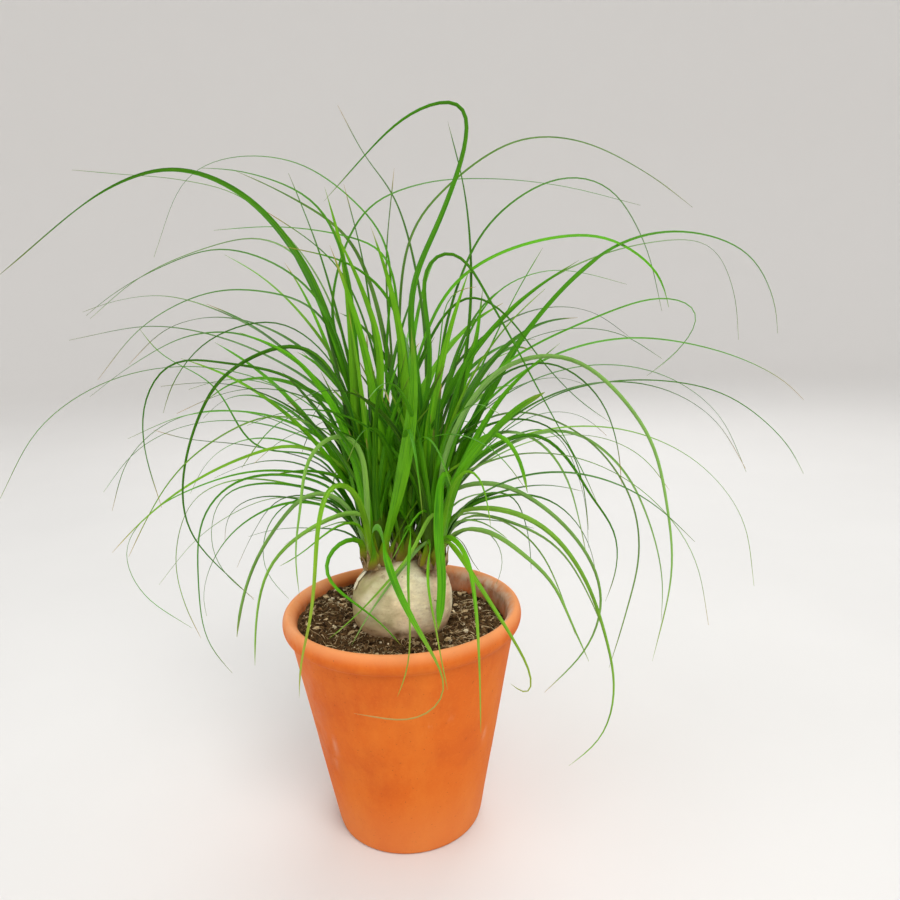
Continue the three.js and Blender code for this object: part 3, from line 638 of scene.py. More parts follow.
def bark_material():
    """Pale corky bark: mottled cream, pink and grey-green, with brown flecks and collars; the darker
    grey-green on the left is partly painted shade.
    """
    n = Nodes("cork_bark")
    brown, green, pink = n.painted()
    base = n.ramp(n.grain(34, 6, 0.62), [(0.34, BARK_GREY), (0.47, BARK_CREAM), (0.62, BARK_PALE)])
    # Greener and darker on the left: partly the bark's tint and partly painted shade
    base = n.between(green, base, BARK_GREEN_AND_SHADE)
    base = n.between(pink, base, BARK_PINK)
    cloud = n.grain(62, 6, 0.66, (1, 1, 0.8), (2, 6, 9))
    base = n.touched(base, cloud, 0.46, 0.66, 0.7, BARK_CLOUD)
    skin = n.grain(150, 8, 0.72, (1, 1, 2.4))
    base = n.touched(base, skin, 0.46, 0.68, 0.5, BARK_SHADE)
    flecks = n.grain(260, 3, 0.6, shift=(4, 8, 1))
    base = n.touched(base, flecks, 0.66, 0.72, 0.8, BARK_FLECK)
    spots = n.grain(90, 5, 0.7, shift=(7, 3, 2))
    base = n.touched(base, spots, 0.62, 0.72, 0.5, BARK_BROWN)
    edge = n.mask(n.grain(130, 5, 0.6), 0.25, 0.6)
    base = n.between(n.times(brown, edge), base, BARK_BROWN)
    return n.finish(base, 0.7, 0.25, n.between(0.4, skin, flecks), 0.5, 0.0009)


def leaf_material():
    """Green blades: yellow at the foot, with their own green that also carries painted shade, lines along
    them and dull tips.
    """
    n = Nodes("leaf_green")
    # The green channel holds each leaf's green with its painted shade
    along, own, tip = n.painted()
    base = n.ramp(own, LEAF_GREENS)
    patch = n.grain(45, 3, 0.5)
    base = n.touched(base, patch, 0.45, 0.75, 0.35, LEAF_DEEP)
    uv = n.add("ShaderNodeUVMap", uv_map="UVMap").outputs["UV"]
    veins = n.noise(n.stretched(uv, (14, 1.6, 1)), 1.0, 4, 0.65)
    base = n.touched(base, veins, 0.44, 0.66, 0.42, LEAF_VEIN)
    base = n.touched(base, veins, 0.5, 0.36, 0.5, LEAF_DEEP)
    foot = n.ramp(along, [(0.0, (1, 1, 1)), (0.16, (0.75,) * 3), (0.4, (0.25,) * 3), (0.7, (0, 0, 0))])
    base = n.between(foot, base, LEAF_FOOT)
    husk = n.times(n.mask(along, 0.3, 0.0), n.mask(patch, 0.35, 0.55))
    base = n.between(husk, base, LEAF_HUSK)
    base = n.between(tip, base, LEAF_TIP)
    return n.finish(base, 0.4, 0.14, veins, 0.45, 0.0003)


def floor_material():
    n = Nodes("pale_floor")
    far, _, _ = n.painted()
    near = n.ramp(n.grain(3, 3, 0.5), [(0.3, PALE_FLOOR[0]), (0.7, PALE_FLOOR[1])])
    return n.finish(n.between(far, near, PALE_WALL), 0.8)


# Camera, light and stage


def make_camera():
    data = bpy.data.cameras.new("camera")
    data.sensor_width = 36.0
    data.lens = CAMERA_FOCAL_PIXELS / FRAME_SIDE * data.sensor_width
    data.clip_start = 0.01
    ahead = Vector((0, math.cos(CAMERA_PITCH), -math.sin(CAMERA_PITCH)))
    side = Vector((1, 0, 0))
    above = side.cross(ahead)
    right = math.cos(CAMERA_ROLL) * side + math.sin(CAMERA_ROLL) * above
    up = right.cross(ahead)
    turn = Matrix((right, up, -ahead)).transposed().to_4x4()
    camera = placed("camera", data)
    camera.matrix_world = Matrix.Translation(Vector(EYE) * MM) @ turn
    bpy.context.scene.camera = camera


def area_light(name, place, size, power, colour):
    """A square lamp that faces the plant."""
    data = bpy.data.lights.new(name, "AREA")
    data.size = size
    data.energy = power
    data.color = colour
    light = placed(name, data)
    light.location = place
    light.rotation_euler = (Vector(LIT_PLACE) - Vector(place)).to_track_quat("-Z", "Y").to_euler()


def make_lights():
    for lamp in LAMPS:
        area_light(*lamp)
    world = bpy.data.worlds.new("studio")
    world.use_nodes = True
    background = world.node_tree.nodes["Background"]
    background.inputs["Color"].default_value = WORLD_COLOUR
    background.inputs["Strength"].default_value = WORLD_STRENGTH
    bpy.context.scene.world = world
    bpy.context.scene.view_settings.view_transform = "Standard"


def make_floor():
    """A pale round floor that curves up into a wall far from the plant on all sides."""
    flat = STAGE_ROWS[-1][0]
    rows = list(STAGE_ROWS)
    for i in range(1, STAGE_CURVE_STEPS + 1):
        angle = i / STAGE_CURVE_STEPS * math.pi / 2
        rows.append((flat + STAGE_CURVE * math.sin(angle), STAGE_CURVE * (1 - math.cos(angle))))
    rows.append((flat + STAGE_CURVE, STAGE_HEIGHT))
    points, faces = turned(rows, STAGE_SIDES)
    floor = mesh_piece("floor", points, faces, floor_material())
    paint(floor, [(smooth_step(*STAGE_COLOUR_CHANGE, math.hypot(p.x, p.y)), 0, 0) for p in points])


# Pot


def pot_outer(height):
    return FOOT_RADIUS + (WALL_TOP_RADIUS - FOOT_RADIUS) * height / WALL_TOP_HEIGHT


def pot_profile():
    rows = [(DRAIN_RADIUS, 1.2), (DRAIN_RADIUS + 1.2, 0)]
    for angle in np.linspace(0, 1.4, 7):
        inward = FOOT_ROUND * (1 - math.sin(angle))
        rows.append((FOOT_RADIUS - inward, FOOT_ROUND * (1 - math.cos(angle))))
    rows += [(pot_outer(z), z) for z in np.linspace(5, 128, 34)]
    rows += [(pot_outer(130) + 0.1, 130.4), (pot_outer(131) + 0.35, 131.9)]
    for angle in np.linspace(-1.25, math.pi / 2, 22):
        rise = CREST_RISE * math.sin(angle)
        rows.append((CREST_RADIUS + CREST_OUTER * math.cos(angle), CREST_MIDDLE + rise))
    for angle in np.linspace(math.pi / 2, math.pi, 16)[1:]:
        inward = CREST_INNER * abs(math.cos(angle)) ** RIM_SLANT
        rise = CREST_RISE * abs(math.sin(angle)) ** RIM_SLANT
        rows.append((CREST_RADIUS - inward, CREST_MIDDLE + rise))
    rows += [(pot_outer(z) - WALL, z) for z in np.linspace(128, FLOOR + 4, 20)]
    rows += [(pot_outer(FLOOR) - WALL - 1.2, FLOOR + 1), (pot_outer(FLOOR) - WALL - 4, FLOOR)]
    rows += [(DRAIN_RADIUS + 0.8, FLOOR), (DRAIN_RADIUS, FLOOR - 0.8), (DRAIN_RADIUS, 1.2)]
    return rows


def pot_uneven(p):
    """The slight swell of hand-finished clay, with a level foot."""
    swell = 0.22 * wave(p, 0.02) + 0.06 * wave(p, 0.09)
    scale = 1 + swell / math.hypot(p.x, p.y)
    lift = 0.1 * wave(p, 0.03) if p.z > 3 else 0
    return Vector((p.x * scale, p.y * scale, p.z + lift))


def pot_tone(p):
    """Red is the stained inside, green the painted highlight on top of the rim and painted bounce light
    near the foot, blue the mineral bloom on the rim with the scuffs and a painted reflection on the upper
    left side.
    """
    radius = math.hypot(p.x, p.y)
    inside = smooth_step(-2, -4, radius - pot_outer(min(p.z, SOIL_TOP))) if p.z > FLOOR else 0
    inside *= 1 - 0.5 * smooth_step(POT_HEIGHT - 9, POT_HEIGHT - 3, p.z)
    # Painted highlight on top of the rim, and painted bounce light from the floor near the foot
    top = smooth_step(POT_HEIGHT - 8, POT_HEIGHT, p.z) + 0.28 * smooth_step(50, 5, p.z)
    turn = math.atan2(p.y, p.x)
    right = smooth_step(1.3, 0.5, abs(turn - 0.15))
    inner = smooth_step(RIM_RIDGE + 2, RIM_RIDGE - 3, radius)
    bloom = right * inner * smooth_step(SOIL_TOP - 2, SOIL_TOP + 6, p.z)
    # Painted reflection: the upper left side is paler; the scuffs below are added to it
    left = smooth_step(0.5, 0.15, abs(abs(turn) - 2.75)) * smooth_step(50, 70, p.z)
    outside = smooth_step(-3, -1, radius - pot_outer(p.z))
    for place, height, wide, tall in SCUFFS:
        scuff = math.exp(-(((turn - place) / wide) ** 2) - ((p.z - height) / tall) ** 2)
        left = max(left, 2.2 * scuff * outside)
    return 0.85 * inside, 0.78 * top, max(0.9 * bloom, 0.14 * left)


def make_pot():
    points, faces = turned(pot_profile(), POT_SIDES, pot_uneven)
    pot = mesh_piece("terracotta_pot", points, faces, terracotta_material(), "terracotta", "pot")
    paint(pot, [pot_tone(p) for p in points])


# Soil


def caudex_radius(height):
    heights = [z for r, z in CAUDEX_PROFILE]
    radii = [r for r, z in CAUDEX_PROFILE]
    return float(np.interp(height, heights, radii))


def soil_height(x, y):
    p = Vector((x, y, 0))
    lumps = 1.4 * wave(p, 0.06) + 1.2 * wave(p, 0.19, (5, 1, 2))
    crumbs = 0.9 * abs(wave(p, 0.55, (1, 9, 3))) + 0.4 * wave(p, 1.5)
    radius = math.hypot(x, y)
    bank = (2 + 2.4 * wave(p, 0.16)) * math.exp(-((radius - SOIL_INNER - 1) / 5) ** 2)
    edge = -1.2 * math.exp(-((radius - 65) / 2.5) ** 2)
    slope = SOIL_SLOPE * smooth_step(2, 60, 0.6 * y - 0.8 * x)
    return SOIL_TOP - 0.4 + lumps + crumbs + bank + edge + slope


def make_soil_bed():
    """The soil's body, with a crumbly top between the caudex and the pot."""
    sides = 320
    inner = caudex_radius(SOIL_TOP - 6) - 1
    outer = pot_outer(SOIL_TOP) - WALL + 1.2
    rows = [(0.5, FLOOR + 0.5), (pot_outer(FLOOR) - WALL - 4, FLOOR + 0.5)]
    rows += [(pot_outer(z) - WALL - 0.3, z) for z in (FLOOR + 5, 60, 110, 127)]
    top = [(radius, None) for radius in np.linspace(outer, inner, 56)]
    points = []
    for radius, height in rows + top:
        for s in range(sides):
            x, y, z = polar(radius, s * 2 * math.pi / sides, height)
            points.append((x, y, soil_height(x, y) if z is None else z))
    faces = ring_faces(len(rows) + len(top), sides)
    earth = grainy_material("potting_mix", *EARTH, 0.95, 330, 0.9)
    mesh_piece("soil_bed", points, faces, earth, "soil", "soil")


def lump(centre, size, flat, rng, detail):
    """An uneven closed lump: a ball of few sides pushed in and out, then turned at random."""
    rows, sides = detail
    offsets = [Vector((0, 0, -size * flat))]
    for r in range(1, rows):
        steep = math.pi * r / rows
        for s in range(sides):
            angle = 2 * math.pi * s / sides + r * GOLDEN_ANGLE
            push = size * (0.75 + 0.5 * rng.random())
            upright = -push * math.cos(steep) * flat
            offsets.append(Vector(polar(push * math.sin(steep), angle, upright)))
    offsets.append(Vector((0, 0, size * flat)))
    last = len(offsets) - 1
    faces = [(0, 1 + (s + 1) % sides, 1 + s) for s in range(sides)]
    faces += ring_faces(rows - 1, sides, 1)
    top = 1 + (rows - 2) * sides
    faces += [(last, top + s, top + (s + 1) % sides) for s in range(sides)]
    spin = Matrix.Rotation(rng.random() * 2 * math.pi, 3, "Z")
    tilt = Matrix.Rotation((rng.random() - 0.5) * 1.4, 3, "X")
    return [centre + spin @ (tilt @ offset) for offset in offsets], faces


def soil_spot(rng):
    """A place on the soil between the caudex and the pot, evenly spread."""
    radius = math.sqrt(mix((SOIL_INNER ** 2, SOIL_OUTER ** 2), rng.random()))
    angle = rng.random() * 2 * math.pi
    return radius * math.cos(angle), radius * math.sin(angle)


def strew(name, count, sizes, flats, seed, material, detail=(4, 5), smooth=False):
    """Many small lumps half sunk in the top of the soil."""
    rng = np.random.default_rng(seed)
    gathered = Gathered()
    for _ in range(count):
        x, y = soil_spot(rng)
        size = mix(sizes, rng.random() ** 2)
        flat = mix(flats, rng.random())
        centre = Vector((x, y, soil_height(x, y) + 0.35 * size * flat))
        gathered.add(*lump(centre, size, flat, rng, detail))
    mesh_piece(name, gathered.points, gathered.faces, material, "soil", None, smooth)


def tube_along(path, radii, sides=4):
    """A thin closed tube through points, with a radius at each."""
    points = []
    count = len(path)
    for i, p in enumerate(path):
        ahead = (path[min(i + 1, count - 1)] - path[max(i - 1, 0)]).normalized()
        side = ahead.cross(Vector((0.3, 0.2, 1))).normalized()
        up = side.cross(ahead)
        for s in range(sides):
            angle = 2 * math.pi * s / sides
            points.append(p + radii[i] * (math.cos(angle) * side + math.sin(angle) * up))
    return points, ring_faces(count, sides) + end_faces(count, sides)


def strew_fibres(name, count, lengths, thicknesses, seed, material):
    """Fibres and straws that lie in curls on the soil."""
    rng = np.random.default_rng(seed)
    gathered = Gathered()
    steps = 8
    for _ in range(count):
        x, y = soil_spot(rng)
        heading = rng.random() * 2 * math.pi
        bend = (rng.random() - 0.5) * 1.2
        length = mix(lengths, rng.random() ** 1.6)
        thick = mix(thicknesses, rng.random() ** 2)
        rise = 0.4 + 1.4 * rng.random() ** 2
        path = []
        for i in range(steps + 1):
            if not SOIL_INNER - 0.5 < math.hypot(x, y) < SOIL_OUTER + 0.5:
                break
            lift = 0.3 + rise * math.sin(math.pi * i / steps)
            path.append(Vector((x, y, soil_height(x, y) + lift)))
            heading += bend * (0.4 + 0.6 * rng.random())
            x += length / steps * math.cos(heading)
            y += length / steps * math.sin(heading)
        if len(path) < 4:
            continue
        radii = [thick * (1 - 0.6 * abs(2 * i / (len(path) - 1) - 1)) for i in range(len(path))]
        gathered.add(*tube_along(path, radii))
    mesh_piece(name, gathered.points, gathered.faces, material, "soil")


def make_soil():
    make_soil_bed()
    dark = grainy_material("crumb_dark", *CRUMB_DARK)
    strew("crumbs_dark", 2300, (0.4, 1.9), (0.6, 1.0), SEED + 1, dark)
    strew("clods", 70, (1.4, 3.2), (0.45, 0.8), SEED + 8, dark, (6, 8))
    brown = grainy_material("crumb_brown", *CRUMB_BROWN)
    strew("crumbs_brown", 1300, (0.35, 1.5), (0.5, 1.0), SEED + 2, brown)
    strew("bark_chips", 240, (0.7, 2.8), (0.2, 0.45), SEED + 3, grainy_material("bark_chip", *CHIP, 0.8))
    perlite = grainy_material("perlite", *PERLITE, 0.8)
    strew("perlite", 34, (0.8, 2.1), (0.75, 1.0), SEED + 5, perlite, (7, 10), True)
    strew("perlite_dust", 170, (0.25, 0.7), (0.7, 1.0), SEED + 7, perlite)
    strew_fibres("fibres", 320, (3, 15), (0.08, 0.26), SEED + 4, grainy_material("fibre", *FIBRE, 0.8))
    strew_fibres("straws", 290, (4, 19), (0.09, 0.28), SEED + 6, grainy_material("straw", *STRAW, 0.7))


# Caudex


def catmull(points, per_span):
    """A centripetal Catmull-Rom curve through points, with some steps to each span."""
    points = np.asarray(points, float)
    walk = np.vstack([2 * points[0] - points[1], points, 2 * points[-1] - points[-2]])
    out = []
    for i in range(1, len(walk) - 2):
        p0, p1, p2, p3 = walk[i - 1 : i + 3]
        d0, d1, d2 = (max(1e-4, np.linalg.norm(b - a) ** 0.5) for a, b in ((p0, p1), (p1, p2), (p2, p3)))
        t1 = ((p1 - p0) / d0 - (p2 - p0) / (d0 + d1) + (p2 - p1) / d1) * d1
        t2 = ((p2 - p1) / d1 - (p3 - p1) / (d1 + d2) + (p3 - p2) / d2) * d1
        for t in np.arange(per_span) / per_span:
            bent = (3 * (p2 - p1) - 2 * t1 - t2) * t ** 2 + (2 * (p1 - p2) + t1 + t2) * t ** 3
            out.append(p1 + t1 * t + bent)
    out.append(points[-1])
    return np.array(out)


def caudex_rows():
    points = np.array(CAUDEX_PROFILE, float)
    rows = catmull(points[CAUDEX_HIDDEN_ROWS:], 9)
    rows[:, 0] = np.maximum(rows[:, 0], 0.05)
    hidden = [(max(radius, 0.4), height) for radius, height in CAUDEX_PROFILE[:CAUDEX_HIDDEN_ROWS]]
    return hidden + [tuple(row) for row in rows]


def bark_relief(p):
    """How far the bark stands out of the even caudex."""
    relief = 1.0 * wave(p, 0.055) + 0.55 * wave(p, 0.13, (2, 7, 1))
    relief += 0.28 * noise.noise(Vector((p.x * 0.35, p.y * 0.35, p.z * 1.0)))
    relief -= 0.9 * max(0, wave(p, 0.3, (3, 4, 5)) - 0.3)
    return relief


def caudex_uneven(p):
    radius = math.hypot(p.x, p.y)
    relief = bark_relief(p) * smooth_step(SOIL_TOP + 1, SOIL_TOP + 8, p.z)
    scale = 1 + relief / max(radius, 6)
    return Vector((p.x * scale, p.y * scale, p.z + 0.5 * relief * smooth_step(150, 172, p.z)))


def caudex_tone(p):
    """Red is how brown the bark is at a place, green how green and how deep the painted shade on the left,
    and blue how pink.
    """
    # The bark is browner in a band just above the soil, of uneven height
    browning = 7 + 14 * max(0, wave(p, 0.11, (4, 2, 8)) + 0.2)
    brown = 0.85 * smooth_step(SOIL_TOP + browning, SOIL_TOP, p.z)
    near_head = min(math.hypot(p.x - x, p.y - y) for x, y in HEADS.values())
    collar = smooth_step(14.5, 8.5, near_head) * smooth_step(160, 170, p.z)
    brown = max(brown, 0.95 * collar)
    for x, y, z, spread, strength in KNOTS:
        apart = (p.x - x) ** 2 + (p.y - y) ** 2 + (p.z - z) ** 2
        brown += strength * math.exp(-apart / spread)
    brown = min(1.0, brown + 0.6 * max(0, wave(p, 0.1) - 0.25))
    # The left side is greener and darker: partly the bark's tint and partly painted shade
    green = 1.4 * smooth_step(6, -24, p.x) * (0.72 + 0.7 * wave(p, 0.08))
    blush = smooth_step(0.05, 0.45, wave(p, 0.045) + 0.25)
    pink = 0.6 * smooth_step(-14, 16, p.x) * blush
    pink = max(pink, 0.7 * smooth_step(SOIL_TOP + 15, SOIL_TOP + 4, p.z))
    return brown, min(1.0, max(0.0, green)), max(0.0, pink)


def neck(x, y):
    """A short ringed neck under a head."""
    rows = []
    for i in range(NECK_STEPS + 1):
        share = i / NECK_STEPS
        ring = 0.35 * math.sin(share * 34)
        radius = NECK_RADIUS + 2.2 * (1 - share) ** 2 - 0.9 * share + ring
        rows.append((radius, mix((NECK_FOOT, NECK_TOP - 0.2), share)))
    rows += [(3, NECK_TOP), (0.1, NECK_TOP)]
    points, faces = turned(rows, 48)
    moved = []
    for p in points:
        p = p + Vector((x, y, 0))
        moved.append(p + Vector((1, 1, 0)) * 0.5 * wave(p, 0.3))
    return moved, faces


def make_caudex():
    gathered = Gathered()
    gathered.add(*turned(caudex_rows(), CAUDEX_SIDES, caudex_uneven))
    for x, y in HEADS.values():
        gathered.add(*neck(x, y))
    caudex = mesh_piece("caudex_bark", gathered.points, gathered.faces, bark_material(), "cork", "caudex")
    paint(caudex, [caudex_tone(Vector(p)) for p in gathered.points])


def make_flakes():
    """Thin pale flakes of bark that lift off the shoulders of the caudex."""
    rng = np.random.default_rng(SEED + 31)
    gathered = Gathered()
    rows, columns = 9, 5
    for turn, height, wide, tall in FLAKES:
        points = []
        drift = (rng.random() - 0.5) * 0.1
        for r in range(rows):
            share = r / (rows - 1)
            z = height + tall * (share - 0.5)
            narrow = 0.35 + 0.65 * math.sin(math.pi * min(0.92, 0.15 + share * 0.8))
            for c in range(columns):
                across = c / (columns - 1) - 0.5
                angle = turn + drift * share + narrow * wide / 30 * across
                lift = 0.6 + 1.3 * share ** 2 + 0.5 * abs(across) + 0.25 * rng.random()
                points.append(polar(caudex_radius(z) + lift, angle, z + 0.3 * rng.random()))
        gathered.add(points, grid_faces(rows, columns))
    sheet_piece("bark_flakes", gathered, grainy_material("flake", *FLAKE), 0.3)


# Leaves


def walked(line):
    """How far along a line each of its points lies."""
    return np.concatenate([[0], np.cumsum(np.linalg.norm(np.diff(line, axis=0), axis=1))])


def spaced(line, count):
    """Points at even steps along a line."""
    along = walked(line)
    at = np.linspace(0, along[-1], count)
    return np.stack([np.interp(at, along, line[:, k]) for k in range(3)], axis=1)


def root_of(head, rise):
    return np.array([*HEADS[head], NECK_TOP + ROOT_RISE + rise], float)


def place_seen(x, z, depth):
    """The place at a depth behind the pot's axis that is seen where the upright plane shows x and z."""
    seen = np.array([x, 0.0, z])
    return EYE + (seen - EYE) * (depth - EYE[1]) / -EYE[1]


def read_path(head, tip_depth, seen):
    root = root_of(head, 3)
    root[1] += ROOT_SPREAD * tip_depth
    flat = np.array([(root[0], root[2])] + list(zip(seen[::2], seen[1::2])), float)
    along = walked(flat)
    power = FRONT_POWER if tip_depth < FRONT_DEPTH else 1
    path = [root]
    for (x, z), share in zip(flat[1:], along[1:] / along[-1]):
        path.append(place_seen(x, z, root[1] + (tip_depth - root[1]) * share ** power))
    return np.array(path)


def rule_path(head, azimuth, lift, length, droop, rise):
    place = root_of(head, rise)
    path = [place.copy()]
    step = length / RULE_STEPS
    for i in range(RULE_STEPS):
        angle = lift - droop * ((i + 0.5) / RULE_STEPS) ** 1.4
        place += step * np.array(polar(math.cos(angle), azimuth, math.sin(angle)))
        path.append(place.copy())
    return np.array(path)


def path_within(head, azimuth, lift, length, droop, rise):
    """A path by the rule, shortened until it keeps within the plant's reach."""
    path = rule_path(head, azimuth, lift, length, droop, rise)
    while np.linalg.norm(path[:, :2] / REACH, axis=1).max() >= 1:
        length *= SHORTER
        path = rule_path(head, azimuth, lift, length, droop, rise)
    return path


def faces_front(azimuth):
    return math.cos(azimuth + math.pi / 2) > math.cos(FRONT_HALF_ANGLE)


def rule_leaves(head, seed):
    """The leaves that fill each head all round, by the rule that the solids use."""
    draw = random_from(seed)
    count = RULE_LEAVES[head]
    leaves = []
    for i in range(count):
        azimuth = i * GOLDEN_ANGLE + next(draw) * 0.5 + seed
        outer = (i + 0.5) / count
        front = faces_front(azimuth)
        lift = RULE_LIFT[0] - 0.1 if front else mix(RULE_LIFT, outer) + (next(draw) - 0.5) * 0.15
        length = FRONT_LENGTH * (0.8 + 0.3 * next(draw)) if front else mix(RULE_LENGTH, next(draw))
        droop = 1.1 + 1.3 * next(draw) + 0.5 * outer
        path = path_within(head, azimuth, lift, length, droop, 2 + 8 * (1 - outer))
        leaves.append(Leaf(head, path, mix(RULE_WIDTH, next(draw))))
    return leaves


def leans_across(head, azimuth):
    """Whether a leaf of an outer head leans over the heads beside it, in front of them."""
    return HEADS[head][0] * math.cos(azimuth) < -4 and math.sin(azimuth) < 0.5


def inner_leaves(head, seed):
    """Shorter leaves that stand close together and make the heart of each head."""
    rng = np.random.default_rng(seed)
    count = INNER_LEAVES[head]
    leaves = []
    for i in range(count):
        azimuth = i * GOLDEN_ANGLE + rng.random() * 0.6
        outer = (i + 0.5) / count
        lift = mix(INNER_LIFT, outer) + (rng.random() - 0.5) * 0.16
        length = mix(INNER_LENGTH, rng.random())
        droop = 0.3 + 1.1 * rng.random() + 0.5 * outer
        if math.sin(azimuth) < TO_THE_FRONT or leans_across(head, azimuth):
            lift = max(lift, UPRIGHT)
            length = max(length * UPRIGHT_LENGTH, INNER_LENGTH[0])
            droop *= UPRIGHT_DROOP
        path = path_within(head, azimuth, lift, length, droop, 2 + 5 * (1 - outer))
        leaves.append(Leaf(head, path, mix(INNER_WIDTH, rng.random()), 0.5, 0.95, inner=True))
    return leaves


class Leaf:
    """One leaf: its head, path and width, how it faces and tapers, and where it belongs."""

    def __init__(self, head, path, width, facing=0, taper=1, depth=0, inner=False):
        self.head = head
        self.path = path
        self.width = width
        self.facing = facing
        self.taper = taper
        self.depth = depth
        self.inner = inner

    def hangs(self):
        return self.path[-1][2] < HANGING_BELOW

    def falls_at_once(self):
        """Whether a leaf read off the front is seen only from the top of its arch down."""
        if self.depth > THIN_FRONT_DEPTH or self.path[2][2] > self.path[1][2] - 2:
            return False
        beside = self.path[1][0] - HEADS[self.head][0]
        return abs(beside) < BESIDE_HEAD or beside * (self.path[2][0] - self.path[1][0]) < 0

    def long(self):
        return walked(self.path)[-1] > LONG_LEAF

    def broad(self):
        steep = abs(self.path[-1][0] - HEADS[self.head][0]) < STEEP_REACH
        return steep and self.width >= BROAD_LEAF and self.facing >= 0.8 and not self.hangs()

    def shoulder(self, axis):
        """Where a leaf that falls at once still rises, beside and behind the top of its arch."""
        top = self.path[1]
        lean = self.path[3][0] - top[0]
        side = -np.sign(lean) if abs(lean) > 3 else np.sign(axis[0] - top[0] + 0.01)
        return top + np.array([side * ARCH_GAP, ARCH_BEHIND, -ARCH_DROP])

    def spine(self):
        """A smooth line from the leaf's foot at the edge of its neck, and its length."""
        axis = np.array([*HEADS[self.head], 0.0])
        walk = self.path[1:]
        leaving = walk[0] - axis
        out = unit((walk[1] - axis) * [1, 1, 0])
        if self.falls_at_once():
            walk = np.vstack([self.shoulder(axis), walk])
            leaving = walk[0] - axis
            out = unit(leaving * [1, 1, 0])
        spread = float(np.clip(math.hypot(leaving[0], leaving[1]) / FAN_REACH, 0, 1))
        radius = mix(FOOT_RADII, spread)
        foot = axis + out * radius
        foot[2] = mix(FOOT_HEIGHTS, spread)
        collar = axis + out * (radius + 0.6)
        collar[2] = foot[2] + min(9.0, 0.6 * (walk[0][2] - foot[2]))
        line = catmull(np.vstack([foot, collar, walk]), 12)
        length = walked(line)[-1]
        spine = spaced(line, max(LEAST_STATIONS, int(length / STATION_EVERY)))
        for _ in range(SMOOTH_PASSES):
            spine[1:-1] = spine[1:-1] / 2 + (spine[:-2] + spine[2:]) / 4
        return spine, length

    def frames(self, spine):
        """The direction across and the direction of the upper face at each point of the spine."""
        ahead = np.gradient(spine, axis=0)
        ahead /= np.linalg.norm(ahead, axis=1)[:, None]
        heading = unit((spine[-1] - spine[0]) * [1, 1, 0])
        across = np.array([-heading[1], heading[0], 0])
        turning = (0.05, 0.3)
        if self.falls_at_once():
            across = np.array([0.3, 1.0, 0])
            top = np.argmax(spine[:, 2]) / len(spine)
            turning = (top - 0.02, top + 0.22)
        shown_before = across
        frames = []
        for i, along in enumerate(ahead):
            across = unit(across - along * across.dot(along))
            shown = unit(np.cross(along, spine[i] - EYE))
            if shown.dot(shown_before) < 0:
                shown = -shown
            shown_before = shown
            share = self.facing * smooth_step(*turning, i / len(ahead))
            turned_across = unit(across * (1 - share) + shown * share)
            turned_across = unit(turned_across - along * turned_across.dot(along))
            frames.append((turned_across, np.cross(along, turned_across)))
        return frames

    def half_width(self, far, from_foot):
        """Widest low down, then narrower to a point, with a broad sheath at the foot."""
        half = self.width / 2 * (1.15 - 0.15 * far) * max(0.0, 1 - self.taper * far) ** TAPER_POWER
        if not self.inner and self.width < BROAD_LEAF:
            half *= NARROW_WHEN_HANGING if self.hangs() else NARROWER
        if self.falls_at_once():
            half *= 0.5 + 0.5 * smooth_step(0.12, 0.4, far)
        if self.depth < WITHERED_DEPTH:
            half *= 1.6 - 1.2 * smooth_step(0.5, 0.78, far)
        if self.broad():
            swell = 0.45 + 0.55 * smooth_step(0.12, 0.5, far)
            half = self.width * 0.6 * swell * max(0.0, 1 - far ** 2) ** 0.9
        half = max(half, TIP_WIDTH / 2) * min(1, (1 - far) * 16 + 0.1)
        sheath = SHEATH_HALF_WIDTH * math.exp(-((from_foot / SHEATH_LENGTH) ** 2))
        return max(half, sheath)

    def tint(self, rng):
        """Where this leaf's green lies between deep, bright, pale and dull; the inner leaves' deep green is
        painted shade, and the dull green of some leaves behind is partly painted shade.
        """
        if self.broad() or self.inner and rng.random() < BRIGHT_SHARE:
            return drawn(rng, *TINT_BRIGHT)
        # Inner leaves are deep green as painted shade of the crowded heart
        if self.inner:
            return drawn(rng, *TINT_INNER)
        if self.hangs() and rng.random() < PALE_SHARE:
            return drawn(rng, *TINT_PALE)
        # Some leaves behind are dull and dark: partly their olive colour, partly painted shade of backlit
        # leaves
        if self.depth > DULL_DEPTH and rng.random() < DULL_SHARE:
            return drawn(rng, *TINT_DULL)
        if self.depth < THIN_FRONT_DEPTH and self.hangs():
            return drawn(rng, *TINT_NEAR)
        if self.facing >= 0.7 and not self.long():
            return drawn(rng, *TINT_SHORT)
        return drawn(rng, *TINT_LONG)

    def mesh(self, rng):
        """The blade's points, faces, shading values and places on its own map."""
        spine, length = self.spine()
        frames = self.frames(spine)
        count = len(spine)
